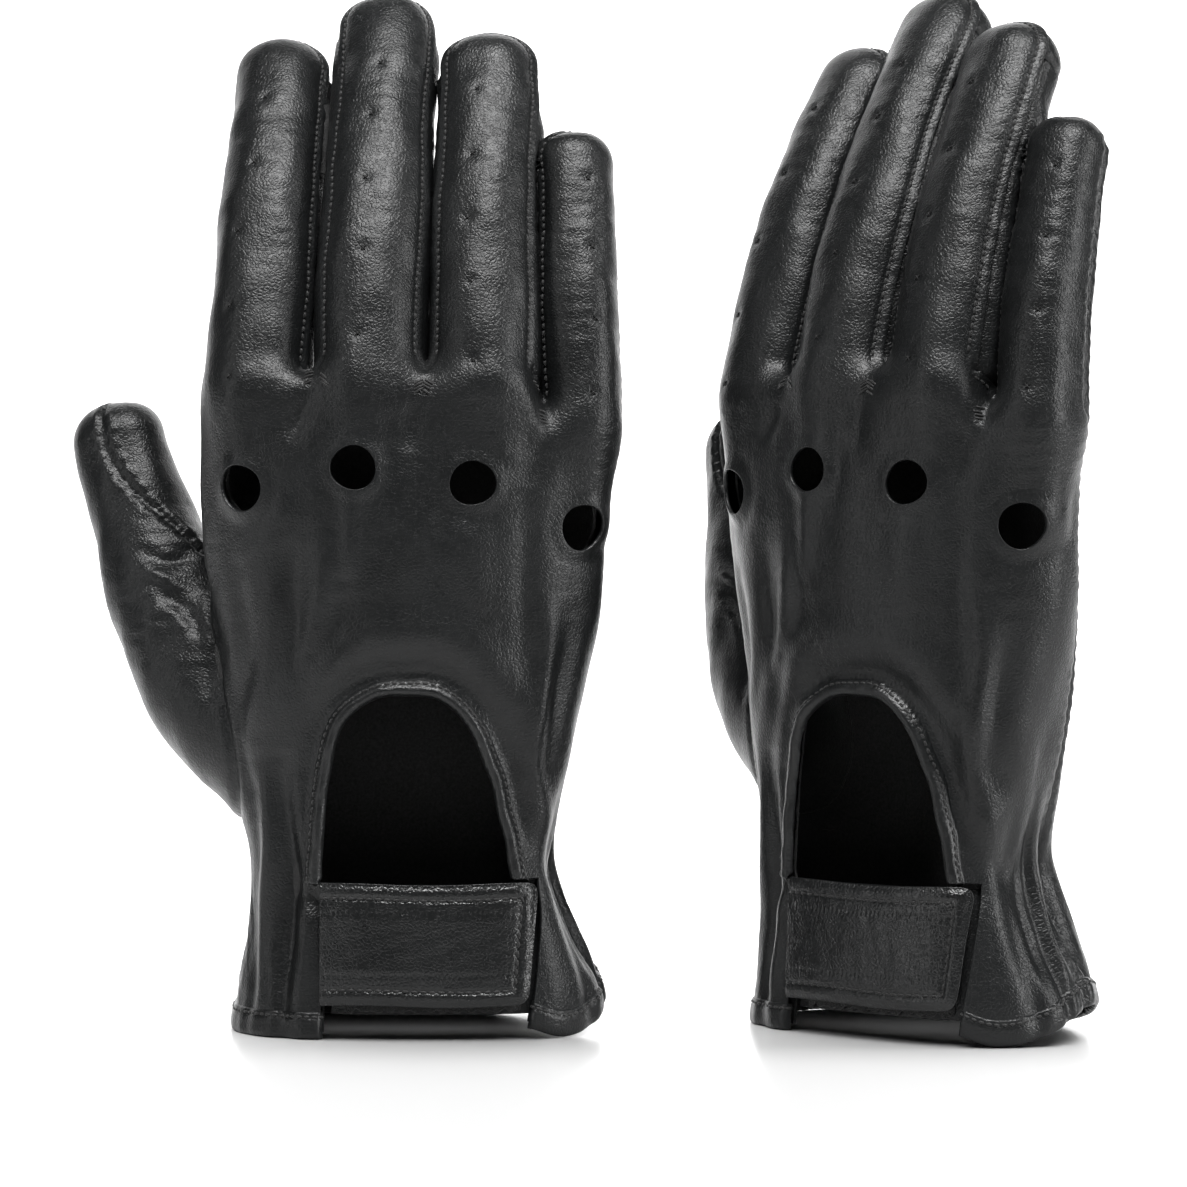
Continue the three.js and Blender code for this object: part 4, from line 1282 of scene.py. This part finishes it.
def bends(part, number):
    """The two bodies a bending part joins, and where its bend starts and ends in the glove's frame."""
    if part == "thumb":
        root, way = np.array([-54.0, 17.5, 91.5]), np.array([-0.388, 0.312, 0.867])
        return f"hand_{number}", f"thumb_{number}", root - way * 5, root + way * 13
    start = np.array([DIGITS[part][0][0], CURL_Y, CROTCHES[part]])
    way = np.array([0, CURL_SLOPE, 1.0])
    way /= np.linalg.norm(way)
    return f"hand_{number}", f"{part}_finger_{number}", start, start + way * 18


def build():
    """Makes both gloves and returns the collection that holds their pieces."""
    finishes = make_materials()
    lit = bpy.data.collections.new("gloves")
    for name, (batch, body, nodes, slot, kind) in glove_parts().items():
        for number, place in enumerate(PLACES, 1):
            made = batch.make(f"{name}_{number}", place, finishes[kind])
            lit.objects.link(made)
            if body == "hand":
                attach(made, f"hand_{number}")
            elif body == "strap":
                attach(made, f"closing_strap_{number}")
            else:
                a, b, start, end = bends(body, number)
                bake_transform(made)
            if nodes:
                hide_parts(*[f"{node}_{number}" for node in nodes])
    return lit


gloves = build()


# ---- Studio, in metres ----
FLOOR_FRONT, FLOOR_BACK, FLOOR_BEND, FLOOR_HALF, BACKDROP_TOP = -0.8, 0.9, 0.7, 1.8, 2.6


def sweep():
    """A pale floor that curves up into a backdrop."""
    profile = [(FLOOR_FRONT, 0), (FLOOR_BACK, 0)]
    for t in np.linspace(0.1, math.pi / 2, 14):
        profile.append((FLOOR_BACK + FLOOR_BEND * math.sin(t), FLOOR_BEND - FLOOR_BEND * math.cos(t)))
    profile.append((FLOOR_BACK + FLOOR_BEND, BACKDROP_TOP))
    points = [(x, y, z) for y, z in profile for x in (-FLOOR_HALF, FLOOR_HALF)]
    faces = [(2 * i, 2 * i + 1, 2 * i + 3, 2 * i + 2) for i in range(len(profile) - 1)]
    mesh = bpy.data.meshes.new("floor")
    mesh.from_pydata(points, [], faces)
    mesh.shade_smooth()
    floor = bpy.data.objects.new("floor", mesh)
    bpy.context.scene.collection.objects.link(floor)
    material, _, shader = nodes_of("pale_floor")
    shader.inputs["Base Color"].default_value = (0.93, 0.93, 0.93, 1)
    shader.inputs["Roughness"].default_value = 0.22
    shader.inputs["Specular IOR Level"].default_value = 0.3
    mesh.materials.append(material)
    return floor


def softbox(name, at, aim, size, power):
    """A rectangular lamp at a place, turned towards its aim."""
    light = bpy.data.lights.new(name, "AREA")
    light.shape, light.size, light.size_y, light.energy = "RECTANGLE", size[0], size[1], power
    lamp = bpy.data.objects.new(name, light)
    lamp.location = at
    lamp.rotation_euler = (Vector(aim) - Vector(at)).to_track_quat("-Z", "Y").to_euler()
    bpy.context.scene.collection.objects.link(lamp)
    return lamp


def studio():
    """The floor, the room's light, the lamps and the camera."""
    backdrop = sweep()
    only = bpy.data.collections.new("backdrop_only")
    only.objects.link(backdrop)
    world = bpy.data.worlds.new("studio")
    bpy.context.scene.world = world
    world.use_nodes = True
    # The room is dim, so that the softboxes shape the black leather, but it looks pale behind it.
    room = world.node_tree.nodes["Background"]
    room.inputs["Color"].default_value = (1, 1, 1, 1)
    seen = add(world.node_tree, "ShaderNodeLightPath")
    strength = add(world.node_tree, "ShaderNodeMapRange")
    strength.inputs["To Min"].default_value, strength.inputs["To Max"].default_value = 0.015, 0.95
    world.node_tree.links.new(seen.outputs["Is Camera Ray"], strength.inputs["Value"])
    world.node_tree.links.new(strength.outputs["Result"], room.inputs["Strength"])
    for name, at, aim, size, power, receivers in (
        ("floor_wash", (0.0, 0.5, 2.1), (0, 0.35, 0), (4.2, 3.4), 118, only),
        ("backdrop_wash", (0.0, 0.2, 1.3), (0, 1.6, 0.6), (3.0, 0.8), 60, only),
        ("overhead", (0.05, -0.62, 1.25), (0, 0, 0.17), (0.9, 0.35), 29, gloves),
        ("left", (-1.0, -0.6, 0.45), (0, 0, 0.12), (0.2, 0.9), 2.5, gloves),
        ("right", (1.1, -0.45, 0.4), (0.03, 0, 0.12), (0.22, 0.9), 10.5, gloves),
    ):
        softbox(name, at, aim, size, power).light_linking.receiver_collection = receivers
    bpy.context.scene.view_settings.view_transform = "Standard"
    data = bpy.data.cameras.new("camera")
    data.lens, data.sensor_width = 107.6, 36.0
    camera = bpy.data.objects.new("camera", data)
    camera.location = (0.00386, -0.8208, 0.098)
    camera.rotation_euler = (math.radians(90), 0, 0)
    bpy.context.scene.collection.objects.link(camera)
    bpy.context.scene.camera = camera


studio()
